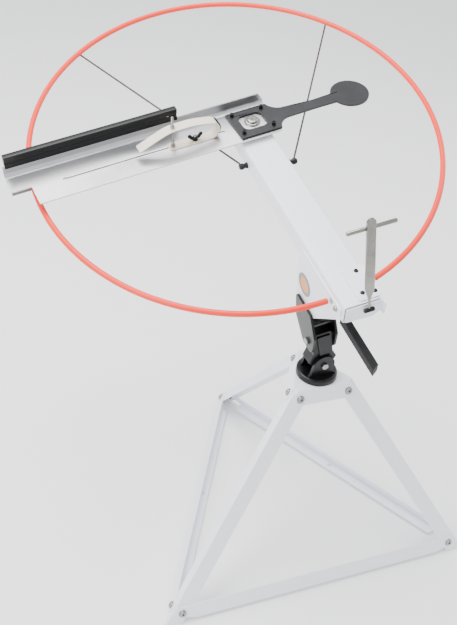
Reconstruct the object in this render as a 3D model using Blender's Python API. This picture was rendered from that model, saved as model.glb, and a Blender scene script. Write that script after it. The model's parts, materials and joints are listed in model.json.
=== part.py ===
"""Clay-target thrower: folded tripod, two-knuckle swivel, box-section head, guard ring and throwing arm.

Metres, +Z up, standing on the floor at z = 0.
"""

import math

import bpy
import bmesh
from mathutils import Matrix, Vector
from mathutils.geometry import tessellate_polygon

GAP = 0.0003  # clearance between touching pieces

# Tripod
FOOT_RADIUS = 0.470  # centre line to the nose of a foot, on the floor
APEX_HEIGHT = 0.598  # where the three noses would meet
LEG_WIDTH = 0.040
LEG_SHEET = 0.0026
LEG_TOP = 0.484
NOSE_FLAT = 0.006
FOOT_BOLT_HEIGHT = 0.0255
CAP_BOLT_HEIGHT = 0.4657
BOLT_FROM_NOSE = 0.029
BOLT_RADIUS = 0.004
BRACE_SHEET = 0.0026
BRACE_TOP = 0.0415
BRACE_BOTTOM = 0.0110
BRACE_INWARD = 0.028
CAP_TOP = 0.4865
CAP_SHEET = 0.0028
CAP_SKIRT = 0.036

# Swivel
DISC_RADIUS = 0.0475
DISC_THICKNESS = 0.0150
CANT_HEIGHT = 0.530
KNUCKLE_RADIUS = 0.026
LUG_INNER = 0.0183
LUG_THICKNESS = 0.0080
KNUCKLE_BOLT = 0.005
PIVOT_SPACING = 0.067
CLEVIS_INNER = 0.0238
CLEVIS_THICKNESS = 0.0055
YAW = math.radians(-89.38)
CANT = math.radians(10.31)
TILT = math.radians(10.25)

# Head: x runs to the operator's end, z is square to the arm's plane, z = 0 on the tube's top face
TILT_PIVOT = (0.4123, -0.0235, -0.2193)
TUBE_START = -0.112
TUBE_END = 0.513
TUBE_WIDTH = 0.082
TUBE_HEIGHT = 0.046
TUBE_WALL = 0.0025
TUBE_CORNER = 0.006
GUSSET_SHEET = 0.0040
RING_CENTRE = (-0.0691, -0.0328)
RING_HALF_LENGTH = 0.5452
RING_HALF_WIDTH = 0.4799
RING_TURN = math.radians(-18.0)  # the oval's long axis, from the head's x axis
RING_START = math.radians(31.4)
RING_STOP = math.radians(377.6)
ROD_REACH = 1.027  # rod tips stand this share of the ring's radius from its centre
RING_BAR = 0.00635  # radius of the round bar
RING_HEIGHT = -0.0170
ROD_RADIUS = 0.0020
STUD_RADIUS = 0.0030

# Arm: x runs out along the arm, z = 0 on the top of its floor
ARM_PIVOT = (-0.0616, 0.0055)
ARM_FLOOR = 0.0140
ARM_TURN = math.radians(-86.25)
ARM_SHEET = 0.0030
ARM_BACK = -0.0550
ARM_FRONT = 0.0555
ARM_HEEL = -0.0530
ARM_TIP = 0.5770
NOTCH_START = 0.5320
NOTCH_EDGE = -0.0030
WALL_HEIGHT = 0.0280
WALL_BEND = 0.0120
SLOT_WIDTH = 0.0066
SLOT_START = 0.0765
SLOT_END = 0.4584
SPINDLE_RADIUS = 0.0100
RAIL_START = 0.1680
RAIL_END = 0.5720
RAIL_TOP = 0.0560
RAIL_BOTTOM = 0.0245
RAIL_WIDTH = 0.0140
WEIGHT_SHEET = 0.0050
WEIGHT_DISC = 0.0470
WEIGHT_REACH = -0.2590
CLAMP_POST = 0.2024
CLAMP_BOLT = 0.1480
CLAMP_LINE = 0.0050  # the slot's distance in front of the spindle
LEAF_SHEET = 0.0015
LEAF_WIDTH = 0.0250

# Trigger and lever on the head
TRIGGER_FOOT = (0.5245, 0.0090, -0.0120)
TRIGGER_LEAN = math.radians(14.0)
TRIGGER_LENGTH = 0.212
TRIGGER_WIDTH = 0.0190
TRIGGER_SHEET = 0.0040
PIN_RADIUS = 0.0036
PIN_LENGTH = 0.106
LEVER_PIVOT = (0.4385, -0.0105, -0.0935)
LEVER_END = 0.6170

MATERIALS = {
    "white_powder": ((0.80, 0.81, 0.86, 1), 0.0, 0.45),
    "orange_powder": ((0.83, 0.10, 0.04, 1), 0.0, 0.40),
    "black_paint": ((0.012, 0.012, 0.013, 1), 0.0, 0.35),
    "dark_plate": ((0.06, 0.062, 0.068, 1), 0.3, 0.45),
    "aluminium": ((0.62, 0.63, 0.65, 1), 1.0, 0.30),
    "zinc": ((0.55, 0.55, 0.53, 1), 1.0, 0.32),
    "black_oxide": ((0.03, 0.03, 0.032, 1), 0.6, 0.45),
    "cream_plastic": ((0.72, 0.69, 0.58, 1), 0.0, 0.45),
    "black_rubber": ((0.02, 0.02, 0.021, 1), 0.0, 0.80),
}


def clear_scene():
    for item in list(bpy.data.objects):
        bpy.data.objects.remove(item, do_unlink=True)


def finish_material(node, finish):
    colour, metallic, roughness = MATERIALS[finish]
    material = bpy.data.materials.new(node + "_" + finish)
    material.use_nodes = True
    shader = material.node_tree.nodes["Principled BSDF"]
    shader.inputs["Base Color"].default_value = colour
    shader.inputs["Metallic"].default_value = metallic
    shader.inputs["Roughness"].default_value = roughness
    material.diffuse_color = colour
    return material


def make_object(name, points, faces, place, finish):
    """One closed mesh, placed by a 4x4 matrix, with outward normals."""
    mesh = bpy.data.meshes.new(name)
    mesh.from_pydata([tuple(p) for p in points], [], faces)
    work = bmesh.new()
    work.from_mesh(mesh)
    bmesh.ops.remove_doubles(work, verts=work.verts, dist=1e-6)
    bmesh.ops.recalc_face_normals(work, faces=work.faces)
    work.to_mesh(mesh)
    work.free()
    item = bpy.data.objects.new(name, mesh)
    bpy.context.scene.collection.objects.link(item)
    item.matrix_world = place
    if finish:
        mesh.materials.append(finish_material(name, finish))
    return item


def axes(origin, x_axis, y_axis, z_axis):
    """Matrix of a frame from its origin and its three unit axes."""
    columns = [Vector(x_axis), Vector(y_axis), Vector(z_axis)]
    matrix = Matrix.Identity(4)
    for j, column in enumerate(columns):
        for i in range(3):
            matrix[i][j] = column[i]
    for i in range(3):
        matrix[i][3] = origin[i]
    return matrix


def circle(x, y, radius, sides=12):
    step = 2 * math.pi / sides
    return [(x + radius * math.cos(k * step), y + radius * math.sin(k * step)) for k in range(sides)]


def rounded(corners, steps=3):
    """Loop with each corner (x, y, radius) turned into a short arc."""
    loop = []
    count = len(corners)
    for k in range(count):
        before = Vector(corners[k - 1][:2])
        here = Vector(corners[k][:2])
        after = Vector(corners[(k + 1) % count][:2])
        radius = corners[k][2]
        if radius <= 0:
            loop.append(tuple(here))
            continue
        a = (before - here).normalized()
        b = (after - here).normalized()
        half = math.acos(max(-1.0, min(1.0, a.dot(b)))) / 2
        reach = radius / math.tan(half)
        centre = here + (a + b).normalized() * (radius / math.sin(half))
        start = here + a * reach - centre
        turn = math.pi - 2 * half
        sign = 1 if a.cross(b) < 0 else -1
        for s in range(steps + 1):
            angle = sign * turn * s / steps
            c, d = math.cos(angle), math.sin(angle)
            loop.append((centre.x + start.x * c - start.y * d, centre.y + start.x * d + start.y * c))
    return loop


def sheet(name, regions, place, finish):
    """Closed plate from regions (outer loop, holes, mapping).

    mapping(u, v, side) gives a point on side 0 or 1.
    """
    near = []
    far = []
    triangles = []
    for outer, holes, mapping in regions:
        loops = [outer] + list(holes)
        flat = [p for loop in loops for p in loop]
        ids = []
        for u, v in flat:
            point = Vector(mapping(u, v, 0))
            same = [k for k, other in enumerate(near) if (other - point).length < 2e-6]
            if not same:
                same = [len(near)]
                near.append(point)
                far.append(Vector(mapping(u, v, 1)))
            ids.append(same[0])
        polygon = [[Vector((u, v, 0.0)) for u, v in loop] for loop in loops]
        for a, b, c in tessellate_polygon(polygon):
            area = (flat[b][0] - flat[a][0]) * (flat[c][1] - flat[a][1])
            area -= (flat[c][0] - flat[a][0]) * (flat[b][1] - flat[a][1])
            if area < 0:
                b, c = c, b
            triangles.append((ids[a], ids[b], ids[c]))
    count = len(near)
    faces = [tri for tri in triangles]
    faces += [(c + count, b + count, a + count) for a, b, c in triangles]
    edges = {(t[k], t[(k + 1) % 3]) for t in triangles for k in range(3)}
    for a, b in sorted(edges):
        if (b, a) not in edges:
            faces.append((b, a, a + count, b + count))
    return make_object(name, near + far, faces, place, finish)


def plate(name, outline, holes, low, high, place, finish):
    """Flat plate in the local x-y plane between two heights."""
    levels = (high, low)
    return sheet(name, [(outline, holes, lambda u, v, side: (u, v, levels[side]))], place, finish)


def upright(name, outline, holes, low, high, place, finish):
    """Flat plate in the local x-z plane, between two y positions."""
    levels = (low, high)
    return sheet(name, [(outline, holes, lambda u, v, side: (u, levels[side], v))], place, finish)


def crosswise(name, outline, holes, low, high, place, finish):
    """Flat plate in the local y-z plane, between two x positions."""
    levels = (high, low)
    return sheet(name, [(outline, holes, lambda u, v, side: (levels[side], u, v))], place, finish)


def lathe(name, profile, sides, place, finish):
    """Solid of revolution about local z from (radius, height) points."""
    points = []
    rows = []
    for radius, height in profile:
        if radius < 1e-7:
            rows.append([len(points)])
            points.append((0.0, 0.0, height))
            continue
        rows.append(list(range(len(points), len(points) + sides)))
        points += [(x, y, height) for x, y in circle(0, 0, radius, sides)]
    pairs = list(zip(rows, rows[1:]))
    if len(rows[0]) > 1:
        pairs.append((rows[-1], rows[0]))
    faces = []
    for low, high in pairs:
        for k in range(sides):
            n = (k + 1) % sides
            ring = [low[k % len(low)], low[n % len(low)], high[n % len(high)], high[k % len(high)]]
            face = [i for j, i in enumerate(ring) if i not in ring[:j]]
            if len(face) > 2:
                faces.append(face)
    return make_object(name, points, faces, place, finish)


def bar(name, path, radius, sides, place, finish):
    """Round bar along a path of points, with square ends."""
    path = [Vector(p) for p in path]
    points = []
    normal = None
    for k, here in enumerate(path):
        ahead = path[min(k + 1, len(path) - 1)]
        behind = path[max(k - 1, 0)]
        along = (ahead - behind).normalized()
        if normal is None:
            helper = Vector((0, 0, 1)) if abs(along.z) < 0.9 else Vector((1, 0, 0))
            normal = helper.cross(along).normalized()
        normal = (normal - along * normal.dot(along)).normalized()
        side = along.cross(normal)
        for x, y in circle(0, 0, radius, sides):
            points.append(here + normal * x + side * y)
    faces = []
    for k in range(len(path) - 1):
        for s in range(sides):
            n = (s + 1) % sides
            faces.append((k * sides + s, k * sides + n, (k + 1) * sides + n, (k + 1) * sides + s))
    faces.append(tuple(reversed(range(sides))))
    faces.append(tuple(range((len(path) - 1) * sides, len(path) * sides)))
    return make_object(name, points, faces, place, finish)


def joined(name, parts, place, finish):
    """Exact union of overlapping solids that are made as one casting or one weldment."""
    base = parts[0]
    for other in parts[1:]:
        cut = base.modifiers.new("join", "BOOLEAN")
        cut.operation = "UNION"
        cut.solver = "EXACT"
        cut.object = other
    bpy.context.view_layer.update()
    graph = bpy.context.evaluated_depsgraph_get()
    solid = base.evaluated_get(graph).to_mesh()
    points = [base.matrix_world @ v.co for v in solid.vertices]
    faces = [tuple(p.vertices) for p in solid.polygons]
    base.evaluated_get(graph).to_mesh_clear()
    for part in parts:
        bpy.data.objects.remove(part, do_unlink=True)
    inverse = place.inverted()
    return make_object(name, [inverse @ p for p in points], faces, place, finish)


def fold_mapping(stations, thickness, along_first):
    """Mapping for a strip folded along stations: u runs along the section and v runs across the strip."""
    path = [Vector(p) for p in stations]
    lengths = [0.0]
    for a, b in zip(path, path[1:]):
        lengths.append(lengths[-1] + (b - a).length)
    normals = []
    for a, b in zip(path, path[1:]):
        d = (b - a).normalized()
        normals.append(Vector((-d.y, d.x)))

    def mapping(u, v, side):
        offset = thickness[side]
        for k, here in enumerate(lengths):
            if abs(u - here) < 1e-6:
                first = normals[max(k - 1, 0)]
                second = normals[min(k, len(normals) - 1)]
                mitre = (first + second) / (1 + first.dot(second))
                p = path[k] + mitre * offset
                break
        else:
            k = max(i for i, here in enumerate(lengths[:-1]) if here <= u)
            t = (u - lengths[k]) / (lengths[k + 1] - lengths[k])
            p = path[k].lerp(path[k + 1], t) + normals[k] * offset
        return (v, p.x, p.y) if along_first else (p.x, v, p.y)

    return mapping, lengths


def bolt_profile(radius, head, head_height, grip, nut, nut_height, tail=0.002):
    """Profile of a bolt with its nut run up: head above z = 0, then grip, nut and tail below."""
    return [
        (0, head_height + GAP),
        (head * 0.7, head_height + GAP),
        (head, head_height * 0.55 + GAP),
        (head, GAP),
        (radius, GAP),
        (radius, -grip - GAP),
        (nut, -grip - GAP),
        (nut, -grip - GAP - nut_height),
        (radius, -grip - GAP - nut_height),
        (radius, -grip - GAP - nut_height - tail),
        (0, -grip - GAP - nut_height - tail),
    ]


# ---------------------------------------------------------------- tripod

LEAN = math.atan2(FOOT_RADIUS / 2, APEX_HEIGHT)
SLOPE = math.hypot(FOOT_RADIUS / 2, APEX_HEIGHT)
EDGE = math.atan2(SLOPE, FOOT_RADIUS * math.cos(math.radians(30)))
CORNERS = {"near": -150.0, "right": -30.0, "back": 90.0}
SIDES = {"front": -90.0, "right": 30.0, "left": 150.0}
OUTSIDE = GAP / math.cos(LEAN)


def face_radius(z):
    """Distance from the centre line to a side face at a height."""
    return FOOT_RADIUS / 2 * (1 - z / APEX_HEIGHT)


def face_frame(angle):
    """Horizontal outward and sideways directions of a side face."""
    a = math.radians(angle)
    return Vector((math.cos(a), math.sin(a), 0)), Vector((-math.sin(a), math.cos(a), 0))


def bolt_points(height):
    """The two bolt places on each side face at a height."""
    half = face_radius(height) * math.tan(math.radians(60)) - BOLT_FROM_NOSE
    for side, angle in SIDES.items():
        out, across = face_frame(angle)
        for sign in (-1, 1):
            point = out * face_radius(height) + across * (sign * half) + Vector((0, 0, height))
            yield side, sign, point, out, across


def make_leg(label):
    angle = math.radians(CORNERS[label])
    foot = Vector((FOOT_RADIUS * math.cos(angle), FOOT_RADIUS * math.sin(angle), 0))
    up = (Vector((0, 0, APEX_HEIGHT)) - foot).normalized()
    top = LEG_TOP / up.z
    regions = []
    sides = []
    for turn in (-60, 60):
        a = angle + math.radians(turn)
        normal = Vector((math.cos(a) * math.cos(LEAN), math.sin(a) * math.cos(LEAN), math.sin(LEAN)))
        across = normal.cross(up)
        if across.dot(Vector((-math.cos(angle), -math.sin(angle), 0))) < 0:
            across = -across
        sides.append((normal, across))
    middle = (sides[0][0] + sides[1][0]).normalized()

    def inner_shift(normal):
        # shared offset at the two folds beside the narrow nose
        return -(normal + middle) / (1 + normal.dot(middle)) * LEG_SHEET

    drop = -sides[0][1].z / up.z
    lift = max(-inner_shift(sides[0][0]).z, 0.0) / up.z
    hole_u = BOLT_FROM_NOSE * math.sin(EDGE)
    for sign, (normal, across) in zip((-1, 1), sides):

        def mapping(u, v, side, normal=normal, across=across):
            shift = Vector((0, 0, 0))
            if side:
                shift = inner_shift(normal) if abs(u) < NOSE_FLAT * 0.51 else -normal * LEG_SHEET
            return foot + up * v + across * abs(u) + shift

        edge = NOSE_FLAT / 2
        outline = [
            (edge, edge * drop + lift, 0),
            (LEG_WIDTH, LEG_WIDTH * drop + lift, 0.010),
            (LEG_WIDTH, top - 0.004, 0.014),
            (edge, top, 0),
        ]
        holes = []
        for height in (FOOT_BOLT_HEIGHT, CAP_BOLT_HEIGHT):
            v = height / up.z + BOLT_FROM_NOSE * math.cos(EDGE)
            holes.append(circle(sign * hole_u, v, BOLT_RADIUS + GAP))
        loop = [(sign * u, v) for u, v in rounded(outline)]
        regions.append((loop, holes, mapping))

    def nose(u, v, side):
        k = 0 if u < 0 else 1
        normal, across = sides[k]
        shift = inner_shift(normal) if side else Vector((0, 0, 0))
        return foot + up * v + across * abs(u) + shift

    edge = NOSE_FLAT / 2
    base = edge * drop + lift
    strip = [(-edge, base), (edge, base), (edge, top), (-edge, top)]
    regions.append((strip, [], nose))
    sheet("leg_" + label, regions, Matrix.Identity(4), "white_powder")


def make_brace(label):
    out, across = face_frame(SIDES[label])
    inner = [
        (face_radius(BRACE_TOP) + OUTSIDE, BRACE_TOP),
        (face_radius(BRACE_BOTTOM) + OUTSIDE, BRACE_BOTTOM),
        (face_radius(BRACE_BOTTOM) + OUTSIDE - BRACE_INWARD, BRACE_BOTTOM),
    ]
    mapping, lengths = fold_mapping(inner, (0.0, BRACE_SHEET), True)

    def world(u, v, side):
        p = mapping(u, v, side)
        return across * p[0] + out * p[1] + Vector((0, 0, p[2]))

    bolt_half = face_radius(FOOT_BOLT_HEIGHT) * math.tan(math.radians(60)) - BOLT_FROM_NOSE
    end = bolt_half + 0.016
    short = bolt_half - LEG_WIDTH * 0.62 - 0.012
    fold = lengths[1]
    hole_u = (BRACE_TOP - FOOT_BOLT_HEIGHT) / math.cos(LEAN)
    web = [
        (0, -end, 0.009),
        (fold * 0.72, -end, 0.006),
        (fold, -short, 0),
        (fold, short, 0),
        (fold * 0.72, end, 0.006),
        (0, end, 0.009),
    ]
    holes = [circle(hole_u, s * bolt_half, BOLT_RADIUS + GAP) for s in (-1, 1)]
    shelf = [(fold, -short, 0), (lengths[2], -short, 0.008), (lengths[2], short, 0.008), (fold, short, 0)]
    stake = [circle(fold + BRACE_INWARD * 0.5, 0.0, 0.0055)]
    regions = [(rounded(web), holes, world), (rounded(shelf), stake, world)]
    sheet("brace_" + label, regions, Matrix.Identity(4), "white_powder")


def make_cap():
    bolt_half = face_radius(CAP_BOLT_HEIGHT) * math.tan(math.radians(60)) - BOLT_FROM_NOSE
    top_half = bolt_half + 0.006
    low = CAP_TOP - CAP_SKIRT
    regions = []
    fold_points = []
    for angle in sorted(SIDES.values()):
        out, across = face_frame(angle)

        def mapping(u, v, side, out=out, across=across):
            depth = GAP if side else GAP + CAP_SHEET
            if abs(v - CAP_TOP) < 1e-6:
                z = CAP_TOP - CAP_SHEET if side else CAP_TOP
                radius = face_radius(z) + depth / math.cos(LEAN)
                return across * u + out * radius + Vector((0, 0, z))
            normal = out * math.cos(LEAN) + Vector((0, 0, math.sin(LEAN)))
            return across * u + out * face_radius(v) + Vector((0, 0, v)) + normal * depth

        outline = [
            (-top_half, CAP_TOP, 0),
            (-bolt_half - 0.016, CAP_TOP - 0.014, 0.005),
            (-bolt_half - 0.016, low, 0.012),
            (bolt_half + 0.016, low, 0.012),
            (bolt_half + 0.016, CAP_TOP - 0.014, 0.005),
            (top_half, CAP_TOP, 0),
        ]
        holes = []
        for s in (-1, 1):
            ring = circle(s * bolt_half, 0, BOLT_RADIUS + GAP)
            holes.append([(u, CAP_BOLT_HEIGHT + v * math.cos(LEAN)) for u, v in ring])
        regions.append((rounded(outline), holes, mapping))
        for u in (-top_half, top_half):
            p = mapping(u, CAP_TOP, 0)
            fold_points.append((p.x, p.y))

    def top(u, v, side):
        return Vector((u, v, CAP_TOP - (CAP_SHEET if side else 0.0)))

    regions.append((fold_points, [circle(0, 0, 0.0065)], top))
    sheet("tripod_cap", regions, Matrix.Identity(4), "white_powder")


def make_tripod():
    for label in CORNERS:
        make_leg(label)
    for label in SIDES:
        make_brace(label)
    make_cap()
    for prefix, height, skin in (("foot", FOOT_BOLT_HEIGHT, BRACE_SHEET), ("cap", CAP_BOLT_HEIGHT, CAP_SHEET)):
        for side, sign, point, out, across in bolt_points(height):
            normal = out * math.cos(LEAN) + Vector((0, 0, math.sin(LEAN)))
            origin = point + normal * (GAP + skin)
            place = axes(origin, across, normal.cross(across), normal)
            grip = skin + GAP + LEG_SHEET
            profile = bolt_profile(BOLT_RADIUS, 0.0078, 0.0042, grip, 0.0068, 0.0050)
            name = "{}_bolt_{}_{}".format(prefix, side, "a" if sign < 0 else "b")
            lathe(name, profile, 12, place, "zinc")


# ---------------------------------------------------------------- swivel and head frames

X0 = Vector((math.cos(YAW), math.sin(YAW), 0))
Y0 = Vector((-math.sin(YAW), math.cos(YAW), 0))
UP = Vector((0, 0, 1))
HEAD_Y = Y0 * math.cos(CANT) + UP * math.sin(CANT)
POST_Z = UP * math.cos(CANT) - Y0 * math.sin(CANT)
HEAD_X = X0 * math.cos(TILT) - POST_Z * math.sin(TILT)
HEAD_Z = POST_Z * math.cos(TILT) + X0 * math.sin(TILT)
CANT_PIVOT = Vector((0, 0, CANT_HEIGHT))
TILT_POINT = CANT_PIVOT + POST_Z * PIVOT_SPACING
HEAD_ORIGIN = TILT_POINT - HEAD_X * TILT_PIVOT[0] - HEAD_Y * TILT_PIVOT[1] - HEAD_Z * TILT_PIVOT[2]
BASE = axes(CANT_PIVOT, X0, Y0, UP)
POST = axes(CANT_PIVOT, X0, HEAD_Y, POST_Z)
HEAD = axes(HEAD_ORIGIN, HEAD_X, HEAD_Y, HEAD_Z)
ARM_X = HEAD_X * math.cos(ARM_TURN) + HEAD_Y * math.sin(ARM_TURN)
ARM_Y = HEAD_Y * math.cos(ARM_TURN) - HEAD_X * math.sin(ARM_TURN)
ARM_ORIGIN = HEAD_ORIGIN + HEAD_X * ARM_PIVOT[0] + HEAD_Y * ARM_PIVOT[1] + HEAD_Z * ARM_FLOOR
ARM = axes(ARM_ORIGIN, ARM_X, ARM_Y, HEAD_Z)


def make_swivel():
    bottom = CAP_TOP + GAP - CANT_HEIGHT
    floor = bottom + DISC_THICKNESS
    lug_outer = LUG_INNER + LUG_THICKNESS
    spigot = 0.0060
    disc = [
        (0, floor),
        (DISC_RADIUS - 0.003, floor),
        (DISC_RADIUS, floor - 0.003),
        (DISC_RADIUS, bottom),
        (spigot, bottom),
        (spigot, bottom - 0.012),
        (0, bottom - 0.012),
    ]
    parts = [lathe("disc", disc, 32, BASE, None)]
    for sign in (-1, 1):
        lug = [(-KNUCKLE_RADIUS - 0.008, floor - 0.004), (KNUCKLE_RADIUS + 0.008, floor - 0.004)]
        for k in range(9):
            angle = math.pi * k / 8
            lug.append((KNUCKLE_RADIUS * math.cos(angle), KNUCKLE_RADIUS * math.sin(angle)))
        low, high = sorted((sign * LUG_INNER, sign * lug_outer))
        hole = circle(0, 0, KNUCKLE_BOLT + GAP)
        parts.append(crosswise("lug", lug, [hole], low, high, BASE, None))
    joined("swivel_base", parts, BASE, "black_paint")

    wide = 0.034
    narrow = CLEVIS_INNER - GAP
    top = PIVOT_SPACING + KNUCKLE_RADIUS
    outline = []
    for k in range(7):
        angle = math.pi + math.pi * k / 6
        outline.append((0.0245 * math.cos(angle), 0.0245 * math.sin(angle)))
    outline += [(wide, 0.012), (narrow, 0.034), (narrow, top - 0.006), (narrow - 0.006, top)]
    outline += [(-narrow + 0.006, top), (-narrow, top - 0.006), (-narrow, 0.034), (-wide, 0.012)]
    depth = LUG_INNER - GAP
    body = crosswise("body", outline, [circle(0, 0, KNUCKLE_BOLT + GAP)], -depth, depth, POST, None)
    bore = axes(CANT_PIVOT + POST_Z * PIVOT_SPACING - HEAD_Y * 0.04, POST_Z, X0, HEAD_Y)
    width = KNUCKLE_BOLT + GAP
    drill = lathe("drill", [(0, 0), (width, 0), (width, 0.08), (0, 0.08)], 12, bore, None)
    cut = body.modifiers.new("bore", "BOOLEAN")
    cut.operation = "DIFFERENCE"
    cut.solver = "EXACT"
    cut.object = drill
    joined("swivel_post", [body], POST, "black_paint")
    bpy.data.objects.remove(drill, do_unlink=True)

    place = axes(CANT_PIVOT + X0 * lug_outer, Y0, UP, X0)
    profile = bolt_profile(KNUCKLE_BOLT, 0.0085, 0.0060, 2 * lug_outer, 0.0085, 0.0070, 0.003)
    lathe("cant_bolt", profile, 12, place, "zinc")

    outer = CLEVIS_INNER + CLEVIS_THICKNESS
    place = axes(TILT_POINT - HEAD_Y * outer, POST_Z, X0, -HEAD_Y)
    profile = bolt_profile(KNUCKLE_BOLT, 0.0090, 0.0060, 2 * outer, 0.0085, 0.0070, 0.003)
    lathe("tilt_bolt", profile, 12, place, "zinc")


def make_tilt_bracket():
    px, py, pz = TILT_PIVOT
    outer = CLEVIS_INNER + CLEVIS_THICKNESS
    cheek = [
        (px - 0.077, pz + 0.079, 0.006),
        (px - 0.066, pz + 0.020, 0.012),
        (px - 0.022, pz - 0.024, 0.014),
        (px + 0.024, pz - 0.024, 0.016),
        (px + 0.026, pz + 0.030, 0.010),
        (px - 0.004, pz + 0.079, 0.006),
    ]
    parts = []
    for sign in (-1, 1):
        low, high = sorted((py + sign * CLEVIS_INNER, py + sign * outer))
        hole = circle(px, pz, KNUCKLE_BOLT + GAP)
        parts.append(upright("cheek", rounded(cheek), [hole], low, high, HEAD, None))
    web_top = -0.1626
    web_low = web_top - 0.006
    web = [(px - 0.060, web_top), (px + 0.006, web_top), (px + 0.006, web_low), (px - 0.060, web_low)]
    parts.append(upright("web", web, [], py - CLEVIS_INNER - 0.002, py + CLEVIS_INNER + 0.002, HEAD, None))
    joined("tilt_bracket", parts, HEAD, "black_paint")


# ---------------------------------------------------------------- head

STUDS_LEFT = ((0.024, -0.034), (0.468, -0.0235), (0.489, -0.0250))
STUDS_RIGHT = ((0.070, -0.0140), (0.468, -0.0235))


def make_tube():
    half = TUBE_WIDTH / 2
    c = TUBE_CORNER
    k = c * (1 - math.cos(math.radians(45)))
    section = [
        (-half + c, 0.0), (half - c, 0.0), (half - k, -k), (half, -c), (half, -TUBE_HEIGHT + c),
        (half - k, -TUBE_HEIGHT + k), (half - c, -TUBE_HEIGHT), (-half + c, -TUBE_HEIGHT),
        (-half + k, -TUBE_HEIGHT + k), (-half, -TUBE_HEIGHT + c), (-half, -c), (-half + k, -k),
    ]
    count = len(section)
    offsets = []
    for i in range(count):
        a = Vector(section[i - 1])
        b = Vector(section[i])
        d = Vector(section[(i + 1) % count])
        first = (b - a).normalized()
        second = (d - b).normalized()
        n1 = Vector((first.y, -first.x))
        n2 = Vector((second.y, -second.x))
        offsets.append((n1 + n2) / (1 + n1.dot(n2)) * TUBE_WALL)
    regions = []
    for i in range(count):
        a = Vector(section[i])
        b = Vector(section[(i + 1) % count])
        flat = (b - a).normalized()
        inward = Vector((flat.y, -flat.x)) * TUBE_WALL
        span = (b - a).length

        def mapping(u, v, side, i=i, a=a, flat=flat, span=span, inward=inward):
            p = a + flat * u
            if side:
                if u < 1e-6:
                    p = p + offsets[i]
                elif u > span - 1e-6:
                    p = p + offsets[(i + 1) % count]
                else:
                    p = p + inward
            return Vector((v, p.x, p.y))

        holes = []
        if i == 0:
            holes.append(circle(ARM_PIVOT[1] - a.x, ARM_PIVOT[0], SPINDLE_RADIUS + GAP, 16))
        if i == 3:
            holes = [circle(a.y - z, x, STUD_RADIUS + GAP) for x, z in STUDS_RIGHT]
        if i == 9:
            holes = [circle(z - a.y, x, STUD_RADIUS + GAP) for x, z in STUDS_LEFT]
        outline = [(0.0, TUBE_START), (span, TUBE_START), (span, TUBE_END), (0.0, TUBE_END)]
        regions.append((outline, holes, mapping))
    sheet("main_tube", regions, HEAD, "white_powder")


def make_gussets():
    under = -TUBE_HEIGHT - GAP
    py = TILT_PIVOT[1]
    outer = CLEVIS_INNER - GAP
    foot = [(0.3257, -0.160, 0.004), (0.3966, -0.162, 0.004)]
    left = [
        (0.330, -0.0120, 0.004), (0.3176, -0.050, 0.010), foot[0], foot[1], (0.495, -0.052, 0.012),
        (0.506, -0.0340, 0.004), (0.506, -0.0120, 0.006),
    ]
    holes = [circle(x, z, STUD_RADIUS + GAP) for x, z in STUDS_LEFT[1:]]
    outside = -TUBE_WIDTH / 2 - GAP
    upright("gusset_left", rounded(left), holes, outside - GUSSET_SHEET, outside, HEAD, "white_powder")
    right = [(0.3176, under, 0), foot[0], foot[1], (0.495, under - 0.004, 0.003), (0.495, under, 0)]
    holes = [circle(LEVER_PIVOT[0], LEVER_PIVOT[2], STUD_RADIUS + GAP)]
    inner = py + outer - GUSSET_SHEET
    upright("gusset_right", rounded(right), holes, inner, inner + GUSSET_SHEET, HEAD, "white_powder")


def make_end_fittings():
    outline = [(0.421, -0.006, 0.006), (0.509, -0.006, 0.006), (0.509, 0.046, 0.006), (0.421, 0.046, 0.006)]
    plate("near_plate", rounded(outline), [], GAP, 0.0033, HEAD, "white_powder")
    face = TUBE_END + GAP
    stations = [(-0.020, face + 0.003), (0.056, face + 0.003), (0.056, face + 0.015)]
    mapping, lengths = fold_mapping(stations, (0.0, -0.003), True)

    def turned(u, v, side):
        z, y, x = mapping(u, v, side)
        return Vector((x, y, z))

    web = [
        (0, -0.004, 0.004), (0, -0.050, 0.010), (lengths[1] - 0.014, -0.050, 0.006),
        (lengths[1], -0.036, 0), (lengths[1], -0.004, 0),
    ]
    lip = [
        (lengths[1], -0.036, 0),
        (lengths[2], -0.036, 0.003),
        (lengths[2], -0.004, 0.003),
        (lengths[1], -0.004, 0),
    ]
    sheet("front_bracket", [(rounded(web), [], turned), (rounded(lip), [], turned)], HEAD, "white_powder")


def make_side_studs():
    """Studs through the tube's sides: the ring's two ends, the left gusset's bolt and the two rods' knobs."""
    half = TUBE_WIDTH / 2
    for name, sign, place_xz, skin, reach in (
        ("ring_stud_left", -1, STUDS_LEFT[1], GAP + GUSSET_SHEET, 0.0018),
        ("gusset_bolt", -1, STUDS_LEFT[2], GAP + GUSSET_SHEET, 0.0045),
        ("ring_stud_right", 1, STUDS_RIGHT[1], 0.0, 0.0120),
    ):
        x, z = place_xz
        origin = HEAD @ Vector((x, sign * (half + skin), z))
        out = HEAD_Y * sign
        place = axes(origin, HEAD_Z.cross(out) * -1, HEAD_Z, out)
        profile = bolt_profile(STUD_RADIUS, 0.0062, reach, skin + TUBE_WALL, 0.0058, 0.0045)
        lathe(name, profile, 12, place, "zinc")
    for name, sign, place_xz in (("rod_knob_left", -1, STUDS_LEFT[0]), ("rod_knob_right", 1, STUDS_RIGHT[0])):
        x, z = place_xz
        origin = HEAD @ Vector((x, sign * half, z))
        out = HEAD_Y * sign
        place = axes(origin, HEAD_Z.cross(out) * -1, HEAD_Z, out)
        profile = bolt_profile(STUD_RADIUS, 0.0075, 0.0200, TUBE_WALL, 0.0058, 0.0045)
        lathe(name, profile, 12, place, "black_oxide")


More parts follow.
